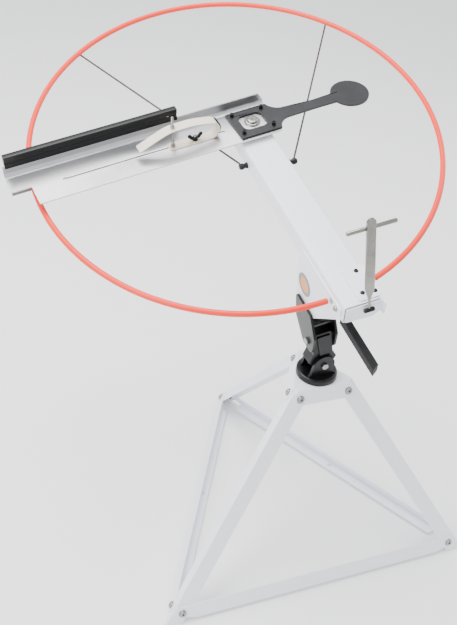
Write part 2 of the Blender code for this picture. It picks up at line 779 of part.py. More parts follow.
def ring_point(angle):
    """Point of the ring's centre line in the head's frame."""
    along = RING_HALF_LENGTH * math.cos(angle)
    beside = RING_HALF_WIDTH * math.sin(angle)
    x = RING_CENTRE[0] + along * math.cos(RING_TURN) - beside * math.sin(RING_TURN)
    y = RING_CENTRE[1] + along * math.sin(RING_TURN) + beside * math.cos(RING_TURN)
    return Vector((x, y, RING_HEIGHT))


def make_ring():
    count = 72
    path = [ring_point(RING_START + (RING_STOP - RING_START) * k / count) for k in range(count + 1)]
    bar("ring", path, RING_BAR, 10, HEAD, "orange_powder")
    under = RING_HEIGHT - RING_BAR - ROD_RADIUS - 2 * GAP
    centre = Vector((*RING_CENTRE, RING_HEIGHT))
    for name, knob, angle, sign in (
        ("rod_left", STUDS_LEFT[0], 231.0, -1),
        ("rod_right", STUDS_RIGHT[0], 145.5, 1),
    ):
        end = centre.lerp(ring_point(math.radians(angle)), ROD_REACH)
        y = sign * (TUBE_WIDTH / 2 + 0.010)
        tip = Vector((end[0], end[1], under))
        eye = Vector((knob[0], y, min(knob[1], under)))
        along = (tip - eye).normalized()
        start_point = eye + along * 0.0110
        level = start_point.copy()
        level.z = min(knob[1], under)
        bar(name, [level, level.lerp(tip, 0.5), tip], ROD_RADIUS, 8, HEAD, "zinc")


def make_trigger():
    fx, fy, fz = TRIGGER_FOOT
    lean_z = HEAD_Z * math.cos(TRIGGER_LEAN) - HEAD_X * math.sin(TRIGGER_LEAN)
    lean_x = HEAD_X * math.cos(TRIGGER_LEAN) + HEAD_Z * math.sin(TRIGGER_LEAN)
    origin = HEAD @ Vector(TRIGGER_FOOT)
    place = axes(origin, lean_x, HEAD_Y, lean_z)
    foot_radius = 0.0050
    foot_place = axes(origin - HEAD_Y * 0.0115, HEAD_X, -HEAD_Z, HEAD_Y)
    foot = [(0, 0), (0.0042, 0), (foot_radius, 0.003), (foot_radius, 0.020), (0.0042, 0.023), (0, 0.023)]
    lathe("trigger_foot", foot, 12, foot_place, "black_oxide")
    half = TRIGGER_WIDTH / 2
    stem = 0.0021
    start = foot_radius + GAP
    outline = [
        (-stem, start, 0), (stem, start, 0), (stem, 0.026, 0), (half, 0.052, 0.004),
        (half, TRIGGER_LENGTH, half * 0.98), (-half, TRIGGER_LENGTH, half * 0.98),
        (-half, 0.052, 0.004), (-stem, 0.026, 0),
    ]
    thick = TRIGGER_SHEET / 2
    crosswise("trigger_bar", rounded(outline, 4), [], -thick, thick, place, "zinc")
    height = TRIGGER_LENGTH - 0.024
    centre = place @ Vector((-thick - GAP - PIN_RADIUS, 0.0045, height))
    pin_place = axes(centre - HEAD_Y * PIN_LENGTH / 2, lean_z, lean_x, HEAD_Y)
    r = PIN_RADIUS
    pin = [(0, 0), (r * 0.7, 0), (r, 0.001), (r, PIN_LENGTH - 0.001), (r * 0.7, PIN_LENGTH), (0, PIN_LENGTH)]
    lathe("trigger_cross_pin", pin, 12, pin_place, "zinc")


def make_lever():
    px, py, pz = LEVER_PIVOT
    half = 0.0080
    thick = 0.0016
    flat = [
        (px - 0.009, pz - half, 0.0075), (LEVER_END - 0.010, pz - half, 0.002),
        (LEVER_END - 0.010, pz + half, 0.002), (px - 0.009, pz + half, 0.0075),
    ]
    hole = circle(px, pz, STUD_RADIUS + GAP)
    upright("lever_bar", rounded(flat), [hole], py - thick, py + thick, HEAD, "black_oxide")
    inner_y = thick + GAP
    inner_z = half + GAP
    wall = 0.0035
    start = px + 0.034
    end = LEVER_END
    blind = LEVER_END - 0.0095
    outer = [(-inner_y - 0.0065, -inner_z - wall), (inner_y + 0.0065, -inner_z - wall)]
    outer += [(inner_y + 0.0065, inner_z + wall), (-inner_y - 0.0065, inner_z + wall)]
    corner = [(y, z, 0.004) for y, z in outer]
    place = HEAD @ Matrix.Translation(Vector((0, py, pz)))
    sleeve = crosswise("sleeve", rounded(corner), [], start, end, place, None)
    core_loop = [(-inner_y, -inner_z), (inner_y, -inner_z), (inner_y, inner_z), (-inner_y, inner_z)]
    core = crosswise("core", core_loop, [], start - 0.01, blind, place, None)
    cut = sleeve.modifiers.new("bore", "BOOLEAN")
    cut.operation = "DIFFERENCE"
    cut.solver = "EXACT"
    cut.object = core
    joined("lever_grip", [sleeve], place, "black_rubber")
    bpy.data.objects.remove(core, do_unlink=True)

    gusset_outer = TILT_PIVOT[1] + CLEVIS_INNER - GAP
    origin = HEAD @ Vector((px, py - thick, pz))
    bolt_place = axes(origin, HEAD_X, HEAD_Z, -HEAD_Y)
    grip = gusset_outer - (py - thick)
    profile = bolt_profile(STUD_RADIUS, 0.0060, 0.0035, grip, 0.0058, 0.0045)
    lathe("lever_pivot_bolt", profile, 12, bolt_place, "zinc")


# ---------------------------------------------------------------- arm

WEIGHT_HOLES = [(sx * 0.038, sy * 0.0330 + 0.002) for sx in (-1, 1) for sy in (-1, 1)]


def make_arm_channel():
    bend = ARM_BACK + WALL_BEND
    stations = [(ARM_FRONT, 0.0), (bend, 0.0)]
    for k in range(1, 5):
        angle = math.radians(90) * k / 4
        stations.append((bend - WALL_BEND * math.sin(angle), WALL_BEND * (1 - math.cos(angle))))
    stations.append((ARM_BACK, WALL_HEIGHT))
    mapping, lengths = fold_mapping(stations, (0.0, ARM_SHEET), True)
    edge = lengths[1]
    notch = ARM_FRONT - NOTCH_EDGE
    floor = [
        (0, ARM_HEEL, 0.010), (edge, ARM_HEEL, 0), (edge, ARM_TIP, 0),
        (notch, ARM_TIP, 0.003), (notch, NOTCH_START, 0), (0, NOTCH_START, 0.004),
    ]
    line = ARM_FRONT - CLAMP_LINE
    half = SLOT_WIDTH / 2
    slot = []
    for k in range(5):
        angle = math.pi * (0.5 + k / 4) + math.pi / 2
        slot.append((line + half * math.cos(angle), SLOT_START + half * math.sin(angle)))
    key = 0.0055
    open_angle = math.asin(half / key)
    for k in range(9):
        angle = -math.pi / 2 + open_angle + (2 * math.pi - 2 * open_angle) * k / 8
        slot.append((line + key * math.cos(angle), SLOT_END + key * math.sin(angle)))
    holes = [slot, circle(ARM_FRONT, 0, SPINDLE_RADIUS + GAP, 16)]
    holes += [circle(ARM_FRONT - y, x, 0.0025 + GAP, 8) for x, y in WEIGHT_HOLES]
    regions = [(rounded(floor), holes, mapping)]
    for k in range(1, 5):
        a, b = lengths[k], lengths[k + 1]
        strip = [(a, ARM_HEEL), (b, ARM_HEEL), (b, ARM_TIP), (a, ARM_TIP)]
        regions.append((strip, [], mapping))
    wall = [
        (lengths[5], ARM_HEEL, 0), (lengths[6], ARM_HEEL + 0.0115, 0.003),
        (lengths[6], ARM_TIP, 0.003), (lengths[5], ARM_TIP, 0),
    ]
    regions.append((rounded(wall), [], mapping))
    sheet("arm_channel", regions, ARM, "aluminium")


def make_rail():
    middle = ARM_BACK - ARM_SHEET / 2
    half = RAIL_WIDTH / 2
    slot = ARM_SHEET / 2 + GAP
    low, high = RAIL_BOTTOM, RAIL_TOP
    waist = (low + high) / 2
    roof = WALL_HEIGHT + GAP
    section = [
        (slot, roof, 0), (slot, low, 0), (half - 0.002, low, 0), (half, low + 0.002, 0),
        (half, waist - 0.0045, 0),
        (half - 0.0035, waist - 0.0025, 0), (half - 0.0035, waist + 0.0025, 0), (half, waist + 0.0045, 0),
        (half, high - 0.004, 0), (half - 0.004, high, 0), (-half + 0.004, high, 0), (-half, high - 0.004, 0),
        (-half, low, 0), (-slot, low, 0), (-slot, roof, 0),
    ]
    loop = [(middle + y, z) for y, z, r in section]
    crosswise("arm_rail", loop, [], RAIL_START, RAIL_END, ARM, "black_paint")


def make_counterweight():
    near = 0.050
    back = -0.0425
    front = 0.050
    neck = 0.0040
    disc = []
    for k in range(17):
        angle = math.radians(20 + 320 * k / 16)
        disc.append((WEIGHT_REACH + WEIGHT_DISC * math.cos(angle), 0.005 + WEIGHT_DISC * math.sin(angle)))
    upper = [
        (near, front), (-0.053, front), (-0.0565, 0.036),
        (-0.066, 0.026), (-0.090, neck + 0.018), (-0.163, 0.0205),
    ]
    lower = [
        (-0.163, -0.0085), (-0.090, neck - 0.018), (-0.066, -0.020),
        (-0.0565, -0.030), (-0.053, back), (near, back),
    ]
    outline = upper + disc + lower
    window = [(-0.026, -0.024, 0.014), (0.026, -0.024, 0.014), (0.026, 0.028, 0.014), (-0.026, 0.028, 0.014)]
    window = [(x * 0.030 / 0.026, y, r) for x, y, r in window]
    holes = [rounded(window)]
    holes += [circle(x, y, 0.0025 + GAP, 8) for x, y in WEIGHT_HOLES]
    plate("counterweight", outline, holes, GAP, GAP + WEIGHT_SHEET, ARM, "dark_plate")
    for k, (x, y) in enumerate(WEIGHT_HOLES):
        place = ARM @ Matrix.Translation(Vector((x, y, GAP + WEIGHT_SHEET)))
        profile = bolt_profile(0.0025, 0.0045, 0.0080, WEIGHT_SHEET + GAP + ARM_SHEET, 0.0045, 0.0030, 0.0006)
        lathe("weight_bolt_{}".format(k + 1), profile, 10, place, "black_oxide")


def make_spindle():
    r = SPINDLE_RADIUS
    bore = r + GAP
    flange = [(bore, GAP), (0.0190, GAP), (0.0190, 0.0030), (0.0150, 0.0045), (bore, 0.0045)]
    lathe("hub_flange", flange, 20, ARM, "zinc")
    low = -ARM_FLOOR + GAP
    high = -ARM_SHEET - GAP
    lathe("arm_bearing", [(bore, low), (0.0220, low), (0.0220, high), (bore, high)], 20, ARM, "zinc")
    top = 0.0045 + GAP
    bottom = -ARM_FLOOR - TUBE_WALL - GAP
    spindle = [
        (0, top + 0.0045), (0.0090, top + 0.0045), (0.0130, top + 0.0030), (0.0130, top), (r, top),
        (r, bottom), (0.0150, bottom), (0.0150, bottom - 0.010),
        (r, bottom - 0.010), (r, bottom - 0.014), (0, bottom - 0.014),
    ]
    lathe("arm_spindle", spindle, 16, ARM, "zinc")


def leaf_stations():
    """Section of the sprung leaf from its lower end, round the bend, to its upper end."""
    base = GAP
    points = [(CLAMP_POST + 0.011, base), (0.1140, base)]
    for k in range(1, 7):
        angle = math.radians(165) * k / 6
        points.append((0.1140 - 0.0230 * math.sin(angle), base + 0.0230 * (1 - math.cos(angle))))
    points.append((0.1500, 0.0535))
    points.append((0.1900, 0.0545))
    points.append((0.2150, 0.0520))
    points.append((0.2400, 0.0430))
    points.append((0.2870, 0.0225))
    return points


def make_leaf():
    stations = leaf_stations()
    mapping, lengths = fold_mapping(stations, (0.0, -LEAF_SHEET), False)
    low = CLAMP_LINE - LEAF_WIDTH / 2
    high = CLAMP_LINE + LEAF_WIDTH / 2
    regions = []
    hole = STUD_RADIUS + 2 * GAP
    for k in range(len(stations) - 1):
        a, b = lengths[k], lengths[k + 1]
        holes = []
        strip = [(a, low, 0), (b, low, 0), (b, high, 0), (a, high, 0)]
        if k == 0:
            spacing = CLAMP_POST - CLAMP_BOLT
            holes = [circle(a + 0.011 + u, CLAMP_LINE, hole) for u in (0.0, spacing)]
            strip = [(a, low, 0.006), (b, low, 0), (b, high, 0), (a, high, 0.006)]
        if stations[k][0] < CLAMP_POST < stations[k + 1][0]:
            share = (CLAMP_POST - stations[k][0]) / (stations[k + 1][0] - stations[k][0])
            holes = [circle(a + (b - a) * share, CLAMP_LINE, hole + 0.0004)]
        if k == len(stations) - 2:
            strip = [(a, low, 0), (b, low, 0.008), (b, high, 0.008), (a, high, 0)]
        regions.append((rounded(strip), holes, mapping))
    sheet("clamp_leaf", regions, ARM, "cream_plastic")
    clip_map, clip_lengths = fold_mapping(stations, (GAP, GAP + 0.0030), False)
    clip = []
    clip_low, clip_high = CLAMP_LINE - 0.010, CLAMP_LINE + 0.010
    for k in range(3, 7):
        a, b = lengths[k], lengths[k + 1]
        clip.append(([(a, clip_low), (b, clip_low), (b, clip_high), (a, clip_high)], [], clip_map))
    sheet("leaf_clip", clip, ARM, "black_rubber")


def make_clamp_hardware():
    under = -ARM_SHEET - GAP
    above = GAP + LEAF_SHEET + GAP
    r = STUD_RADIUS
    for name, x, top, nut_top in (
        ("clamp_post", CLAMP_POST, 0.0840, above + 0.0060),
        ("clamp_bolt", CLAMP_BOLT, 0.0160, 0),
    ):
        place = ARM @ Matrix.Translation(Vector((x, CLAMP_LINE, 0)))
        profile = [(0, top), (r * 0.7, top), (r, top - 0.001)]
        if nut_top:
            profile += [(r, nut_top), (0.0060, nut_top), (0.0060, above), (r, above)]
        profile += [(r, under), (0.0060, under), (0.0060, under - 0.0032), (0, under - 0.0032)]
        lathe(name, profile, 12, place, "zinc")
    place = ARM @ Matrix.Translation(Vector((CLAMP_POST, CLAMP_LINE, 0.0568)))
    bore = r + GAP
    lathe("post_nut", [(bore, 0), (0.0058, 0), (0.0058, 0.0042), (bore, 0.0042)], 12, place, "zinc")
    place = ARM @ Matrix.Translation(Vector((CLAMP_BOLT, CLAMP_LINE, above)))
    hub = [(bore, 0), (0.0068, 0), (0.0052, 0.0100), (bore, 0.0100)]
    parts = [lathe("hub", hub, 12, place, None)]
    for sign in (-1, 1):
        wing = [
            (0.0044, 0.0012, 0), (0.0100, 0.0030, 0), (0.0185, 0.0120, 0.003),
            (0.0165, 0.0190, 0.003), (0.0110, 0.0170, 0.003), (0.0044, 0.0085, 0),
        ]
        loop = [(sign * x, z) for x, z in rounded(wing, 2)]
        if sign < 0:
            loop.reverse()
        parts.append(upright("wing", loop, [], -0.0014, 0.0014, place, None))
    joined("wing_nut", parts, place, "black_oxide")


# ---------------------------------------------------------------- assembly


def centre_on_origin():
    """Move the whole machine so that the middle of its bounding box stands over the origin."""
    bpy.context.view_layer.update()
    low = [1e9, 1e9]
    high = [-1e9, -1e9]
    for item in bpy.data.objects:
        for vertex in item.data.vertices:
            point = item.matrix_world @ vertex.co
            for k in range(2):
                low[k] = min(low[k], point[k])
                high[k] = max(high[k], point[k])
    shift = Matrix.Translation(Vector((-(low[0] + high[0]) / 2, -(low[1] + high[1]) / 2, 0)))
    for item in bpy.data.objects:
        item.matrix_world = shift @ item.matrix_world
    return shift


def build():
    clear_scene()
    make_tripod()
    make_swivel()
    make_tilt_bracket()
    make_tube()
    make_gussets()
    make_end_fittings()
    make_side_studs()
    make_ring()
    make_trigger()
    make_lever()
    make_arm_channel()
    make_rail()
    make_counterweight()
    make_spindle()
    make_leaf()
    make_clamp_hardware()
    return centre_on_origin()


SHIFT = build()
print("nodes", len(bpy.data.objects), "shift", tuple(round(c, 6) for c in SHIFT.translation))
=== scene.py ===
# %% [markdown]
# # A hand-cocked clay-target thrower, piece by piece
#
# The machine is a throwing arm on a box-section head. A two-way swivel carries the head on a folded
# steel tripod, and an orange ring keeps people out of the arm's path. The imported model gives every
# size and joint; this script gives the pieces their finished shapes and surfaces.

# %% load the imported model
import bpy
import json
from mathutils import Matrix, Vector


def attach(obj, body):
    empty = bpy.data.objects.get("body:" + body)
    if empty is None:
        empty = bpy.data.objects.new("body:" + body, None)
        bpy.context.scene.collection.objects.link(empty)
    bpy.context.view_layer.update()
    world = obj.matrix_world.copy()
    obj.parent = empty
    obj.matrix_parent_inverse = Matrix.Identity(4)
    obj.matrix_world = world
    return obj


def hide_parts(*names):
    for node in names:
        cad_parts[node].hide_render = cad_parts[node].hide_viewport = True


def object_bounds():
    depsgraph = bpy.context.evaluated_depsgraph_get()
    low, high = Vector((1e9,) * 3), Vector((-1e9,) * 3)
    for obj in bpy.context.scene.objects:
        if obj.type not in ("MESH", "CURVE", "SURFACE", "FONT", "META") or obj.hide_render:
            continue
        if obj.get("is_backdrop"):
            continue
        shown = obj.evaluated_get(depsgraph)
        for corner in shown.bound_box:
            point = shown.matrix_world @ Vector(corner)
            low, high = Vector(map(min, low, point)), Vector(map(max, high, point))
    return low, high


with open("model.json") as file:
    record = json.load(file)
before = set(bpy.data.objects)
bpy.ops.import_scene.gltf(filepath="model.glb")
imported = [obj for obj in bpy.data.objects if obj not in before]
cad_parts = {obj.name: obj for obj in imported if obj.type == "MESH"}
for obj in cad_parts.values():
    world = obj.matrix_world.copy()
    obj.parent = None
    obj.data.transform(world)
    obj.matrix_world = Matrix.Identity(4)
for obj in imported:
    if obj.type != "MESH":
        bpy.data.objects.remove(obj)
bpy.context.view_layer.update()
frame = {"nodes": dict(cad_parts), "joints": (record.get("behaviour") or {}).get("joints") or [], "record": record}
import json
import math
import bpy
import bmesh
from mathutils import Matrix, Vector
from mathutils.geometry import tessellate_polygon

GAP = 0.0003

# %% [markdown]
# ## Camera
# The camera stands above and in front of the operator's end. It is placed first, so that the framing
# never depends on what is built later.

# %% camera
SHIFT = Vector((0.106723, -0.369609, 0.0))


def frame_matrix(origin, x_axis, y_axis, z_axis):
    matrix = Matrix.Identity(4)
    for j, column in enumerate((x_axis, y_axis, z_axis, origin)):
        for i in range(3):
            matrix[i][j] = column[i]
    return matrix


camera_data = bpy.data.cameras.new("camera")
camera_data.sensor_fit = "AUTO"
camera_data.sensor_width = 36.0
camera_data.lens = 51.84
camera_data.clip_start = 0.05
camera_data.clip_end = 60.0
camera = bpy.data.objects.new("camera", camera_data)
bpy.context.scene.collection.objects.link(camera)
VIEW_RIGHT = Vector((0.9252, -0.3612, 0.1159))
VIEW_UP = Vector((0.1354, 0.5998, 0.7886))
VIEW_BACK = VIEW_RIGHT.cross(VIEW_UP).normalized()
camera.matrix_world = frame_matrix(Vector((-0.898, -1.318, 1.8185)) + SHIFT, VIEW_RIGHT, VIEW_UP, VIEW_BACK)
bpy.context.scene.camera = camera
print("camera at", [round(c, 3) for c in camera.location])

# %% [markdown]
# ## Frames of reference
# The head is tilted and canted, and the arm turns on it. Each moving group is drawn in its own
# square frame, read from the joints, so every piece can be drawn the way it would be on a bench.

# %% frames from the joints
joints = {joint["name"]: joint for joint in frame["joints"]}


def axis_of(name):
    return Vector(joints[name]["axis"]).normalized()


def place_of(name):
    return Vector(joints[name]["pos_m"])


HEAD_Y = axis_of("swivel_tilt")
HEAD_Z = axis_of("arm_spin")
HEAD_X = HEAD_Y.cross(HEAD_Z).normalized()
ARM_X = axis_of("clamp_slide")
ARM_Y = HEAD_Z.cross(ARM_X).normalized()
ARM_O = place_of("arm_spin")
HEAD_O = ARM_O - HEAD_X * -0.0616 - HEAD_Y * 0.0055 - HEAD_Z * 0.0140
X0 = axis_of("swivel_cant")
CANT_O = place_of("swivel_cant")
TILT_O = place_of("swivel_tilt")
POST_Z = (TILT_O - CANT_O).normalized()
POST_Y = POST_Z.cross(X0).normalized()
HEAD = frame_matrix(HEAD_O, HEAD_X, HEAD_Y, HEAD_Z)
ARM = frame_matrix(ARM_O, ARM_X, ARM_Y, HEAD_Z)
BASE = frame_matrix(CANT_O, X0, Vector((0, 0, 1)).cross(X0), Vector((0, 0, 1)))
POST = frame_matrix(CANT_O, X0, POST_Y, POST_Z)
print("head origin", [round(c, 4) for c in HEAD_O])

# %% [markdown]
# ## Shop tools
# Four ways of making a shape cover the whole machine: cutting and folding sheet, turning on a lathe,
# bending bar, and cutting an extrusion. Each one returns an object with smooth faces and crisp edges.


# %% shape helpers
def new_piece(name, points, faces, place, finish, body, stands_for=(), edge=0.0, crease=32):
    mesh = bpy.data.meshes.new(name)
    mesh.from_pydata([tuple(p) for p in points], [], faces)
    work = bmesh.new()
    work.from_mesh(mesh)
    bmesh.ops.remove_doubles(work, verts=work.verts, dist=1e-6)
    bmesh.ops.recalc_face_normals(work, faces=work.faces)
    for face in work.faces:
        face.smooth = True
    work.to_mesh(mesh)
    work.free()
    mesh.set_sharp_from_angle(angle=math.radians(crease))
    item = bpy.data.objects.new(name, mesh)
    bpy.context.scene.collection.objects.link(item)
    item.matrix_world = place
    mesh.materials.append(finish)
    if edge:
        bevel = item.modifiers.new("edge", "BEVEL")
        bevel.width = edge
        bevel.segments = 2
        bevel.limit_method = "ANGLE"
        bevel.angle_limit = math.radians(38)
        bevel.harden_normals = True
    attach(item, body)
    if stands_for:
        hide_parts(*stands_for)
    return item


def circle(x, y, radius, sides=32):
    step = 2 * math.pi / sides
    return [(x + radius * math.cos(k * step), y + radius * math.sin(k * step)) for k in range(sides)]


def rounded(corners, steps=8):
    """Loop with each corner (x, y, radius) turned into an arc."""
    loop = []
    for k, (x, y, radius) in enumerate(corners):
        here = Vector((x, y))
        a = (Vector(corners[k - 1][:2]) - here).normalized()
        b = (Vector(corners[(k + 1) % len(corners)][:2]) - here).normalized()
        if radius <= 0:
            loop.append((x, y))
            continue
        half = math.acos(max(-1.0, min(1.0, a.dot(b)))) / 2
        centre = here + (a + b).normalized() * (radius / math.sin(half))
        start = here + a * (radius / math.tan(half)) - centre
        turn = (math.pi - 2 * half) * (1 if a.cross(b) < 0 else -1)
        for s in range(steps + 1):
            c = math.cos(turn * s / steps)
            d = math.sin(turn * s / steps)
            loop.append((centre.x + start.x * c - start.y * d, centre.y + start.x * d + start.y * c))
    return loop


def sheet(name, regions, place, finish, body, **more):
    """Plate from regions (outer loop, holes, mapping); mapping(u, v, side) gives a point of side 0 or 1."""
    near = []
    far = []
    found = {}
    triangles = []
    for outer, holes, mapping in regions:
        loops = [outer] + list(holes)
        flat = [p for loop in loops for p in loop]
        ids = []
        for u, v in flat:
            point = Vector(mapping(u, v, 0))
            cell = tuple(round(c / 4e-5) for c in point)
            cells = [(cell[0] + i, cell[1] + j, cell[2] + k) for i in (0, -1, 1) for j in (0, -1,
                1) for k in (0, -1, 1)]
            same = [n for c in cells for n in found.get(c, ()) if (near[n] - point).length < 4e-6]
            if not same:
                same = [len(near)]
                found.setdefault(cell, []).append(len(near))
                near.append(point)
                far.append(Vector(mapping(u, v, 1)))
            ids.append(same[0])
        for a, b, c in tessellate_polygon([[Vector((u, v, 0.0)) for u, v in loop] for loop in loops]):
            area = (flat[b][0] - flat[a][0]) * (flat[c][1] - flat[a][1])
            area -= (flat[c][0] - flat[a][0]) * (flat[b][1] - flat[a][1])
            triangles.append((ids[a], ids[c], ids[b]) if area < 0 else (ids[a], ids[b], ids[c]))
    count = len(near)
    faces = list(triangles) + [(c + count, b + count, a + count) for a, b, c in triangles]
    edges = {(t[k], t[(k + 1) % 3]) for t in triangles for k in range(3)}
    faces += [(b, a, a + count, b + count) for a, b in sorted(edges) if (b, a) not in edges]
    return new_piece(name, near + far, faces, place, finish, body, **more)


def flat_plate(name, outline, holes, low, high, place, finish, body, plane="xy", **more):
    """Plate between two levels of the axis that the plane leaves out."""
    turn = {
        "xy": lambda u, v, side: (u, v, (high, low)[side]),
        "xz": lambda u, v, side: (u, (low, high)[side], v),
        "yz": lambda u, v, side: ((high, low)[side], u, v),
    }[plane]
    return sheet(name, [(outline, holes, turn)], place, finish, body, **more)


def lathe(name, profile, sides, place, finish, body, **more):
    """Turned piece about local z from (radius, height) points."""
    points = []
    rows = []
    for radius, height in profile:
        if radius < 1e-7:
            rows.append([len(points)])
            points.append((0.0, 0.0, height))
        else:
            rows.append(list(range(len(points), len(points) + sides)))
            points += [(x, y, height) for x, y in circle(0, 0, radius, sides)]
    pairs = list(zip(rows, rows[1:]))
    if len(rows[0]) > 1:
        pairs.append((rows[-1], rows[0]))
    faces = []
    for low, high in pairs:
        for k in range(sides):
            n = (k + 1) % sides
            ring = [low[k % len(low)], low[n % len(low)], high[n % len(high)], high[k % len(high)]]
            face = [i for j, i in enumerate(ring) if i not in ring[:j]]
            if len(face) > 2:
                faces.append(face)
    return new_piece(name, points, faces, place, finish, body, **more)


def bent_bar(name, path, radius, sides, place, finish, body, **more):
    """Round bar along a path, with slightly rounded ends."""
    path = [Vector(p) for p in path]
    ends = [path[0] + (path[1] - path[0]).normalized() * radius * 0.25]
    path = [path[0], *ends, *path[1:-1], path[-1] + (path[-2] - path[-1]).normalized() * radius * 0.25,
        path[-1]]
    radii = [radius * 0.78] + [radius] * (len(path) - 2) + [radius * 0.78]
    points = []
    normal = None
    for k, here in enumerate(path):
        along = (path[min(k + 1, len(path) - 1)] - path[max(k - 1, 0)]).normalized()
        if normal is None:
            helper = Vector((0, 0, 1)) if abs(along.z) < 0.9 else Vector((1, 0, 0))
            normal = helper.cross(along).normalized()
        normal = (normal - along * normal.dot(along)).normalized()
        side = along.cross(normal)
        points += [here + normal * x + side * y for x, y in circle(0, 0, radii[k], sides)]
    faces = []
    for k in range(len(path) - 1):
        for s in range(sides):
            n = (s + 1) % sides
            faces.append((k * sides + s, k * sides + n, (k + 1) * sides + n, (k + 1) * sides + s))
    faces.append(tuple(reversed(range(sides))))
    faces.append(tuple(range((len(path) - 1) * sides, len(path) * sides)))
    return new_piece(name, points, faces, place, finish, body, **more)


def fold(stations, thickness, along_first):
    """Mapping for a strip folded along stations: u runs along the section and v across the strip."""
    path = [Vector(p) for p in stations]
    lengths = [0.0]
    normals = []
    for a, b in zip(path, path[1:]):
        lengths.append(lengths[-1] + (b - a).length)
        d = (b - a).normalized()
        normals.append(Vector((-d.y, d.x)))

    def mapping(u, v, side):
        k = min(range(len(lengths)), key=lambda i: abs(lengths[i] - u))
        if abs(lengths[k] - u) < 1e-6:
            first = normals[max(k - 1, 0)]
            second = normals[min(k, len(normals) - 1)]
            p = path[k] + (first + second) / (1 + first.dot(second)) * thickness[side]
        else:
            k = max(i for i, here in enumerate(lengths[:-1]) if here <= u)
            t = (u - lengths[k]) / (lengths[k + 1] - lengths[k])
            p = path[k].lerp(path[k + 1], t) + normals[k] * thickness[side]
        return (v, p.x, p.y) if along_first else (p.x, v, p.y)

    return mapping, lengths


print("shape helpers ready")

# %% [markdown]
# ## Surfaces
# Powder coat has a fine orange peel, machined metal has a grain along its working direction, and every
# real surface varies a little in tone and gloss. Each effect is one node group, reused with different
# settings, so that all the pieces look as if they came from one workshop.


# %% surface node groups
def start_group(name, inputs, outputs):
    tree = bpy.data.node_groups.new(name, "ShaderNodeTree")
    for label, kind, value in inputs:
        socket = tree.interface.new_socket(label, in_out="INPUT", socket_type=kind)
        socket.default_value = value
    for label, kind in outputs:
        tree.interface.new_socket(label, in_out="OUTPUT", socket_type=kind)
    return tree, tree.nodes.new("NodeGroupInput"), tree.nodes.new("NodeGroupOutput")


def make_grain_group():
    """Fine relief: an even peel, or a brushed grain when the stretch differs between the axes."""
    inputs = [
        ("Stretch", "NodeSocketVector", (1.0, 1.0, 1.0)),
        ("Scale", "NodeSocketFloat", 900.0),
        ("Depth", "NodeSocketFloat", 0.1),
    ]
    tree, source, sink = start_group("fine_relief", inputs,
        [("Normal", "NodeSocketVector"), ("Mask", "NodeSocketFloat")])
    where = tree.nodes.new("ShaderNodeTexCoord")
    scale = tree.nodes.new("ShaderNodeMapping")
    noise = tree.nodes.new("ShaderNodeTexNoise")
    noise.inputs["Detail"].default_value = 2.0
    bump = tree.nodes.new("ShaderNodeBump")
    bump.inputs["Distance"].default_value = 0.0003
    link = tree.links.new
    link(where.outputs["Object"], scale.inputs["Vector"])
    link(source.outputs["Stretch"], scale.inputs["Scale"])
    link(scale.outputs["Vector"], noise.inputs["Vector"])
    link(source.outputs["Scale"], noise.inputs["Scale"])
    link(source.outputs["Depth"], bump.inputs["Strength"])
    link(noise.outputs["Fac"], bump.inputs["Height"])
    link(bump.outputs["Normal"], sink.inputs["Normal"])
    link(noise.outputs["Fac"], sink.inputs["Mask"])
    return tree


def make_tone_group():
    """Slow change of tone and gloss over a surface, with a second tone in the worn places."""
    inputs = [
        ("Color", "NodeSocketColor", (0.8, 0.8, 0.8, 1)),
        ("Worn Color", "NodeSocketColor", (0.7, 0.7, 0.7, 1)),
        ("Amount", "NodeSocketFloat", 0.3),
        ("Scale", "NodeSocketFloat", 12.0),
        ("Roughness", "NodeSocketFloat", 0.4),
        ("Spread", "NodeSocketFloat", 0.1),
    ]
    tree, source, sink = start_group("tone_drift", inputs,
        [("Color", "NodeSocketColor"), ("Roughness", "NodeSocketFloat")])
    where = tree.nodes.new("ShaderNodeTexCoord")
    noise = tree.nodes.new("ShaderNodeTexNoise")
    noise.inputs["Detail"].default_value = 5.0
    noise.inputs["Roughness"].default_value = 0.62
    edge = tree.nodes.new("ShaderNodeMapRange")
    edge.inputs["From Min"].default_value = 0.42
    edge.inputs["From Max"].default_value = 0.70
    share = tree.nodes.new("ShaderNodeMath")
    share.operation = "MULTIPLY"
    mix = tree.nodes.new("ShaderNodeMix")
    mix.data_type = "RGBA"
    centred = tree.nodes.new("ShaderNodeMath")
    centred.operation = "SUBTRACT"
    centred.inputs[1].default_value = 0.5
    gloss = tree.nodes.new("ShaderNodeMath")
    gloss.operation = "MULTIPLY_ADD"
    link = tree.links.new
    link(where.outputs["Object"], noise.inputs["Vector"])
    link(source.outputs["Scale"], noise.inputs["Scale"])
    link(noise.outputs["Fac"], edge.inputs["Value"])
    link(edge.outputs["Result"], share.inputs[0])
    link(source.outputs["Amount"], share.inputs[1])
    link(share.outputs["Value"], mix.inputs["Factor"])
    link(source.outputs["Color"], mix.inputs["A"])
    link(source.outputs["Worn Color"], mix.inputs["B"])
    link(mix.outputs["Result"], sink.inputs["Color"])
    link(noise.outputs["Fac"], centred.inputs[0])
    link(centred.outputs["Value"], gloss.inputs[0])
    link(source.outputs["Spread"], gloss.inputs[1])
    link(source.outputs["Roughness"], gloss.inputs[2])
    link(gloss.outputs["Value"], sink.inputs["Roughness"])
    return tree


GRAIN = make_grain_group()
TONE = make_tone_group()
print("node groups", [group.name for group in bpy.data.node_groups])


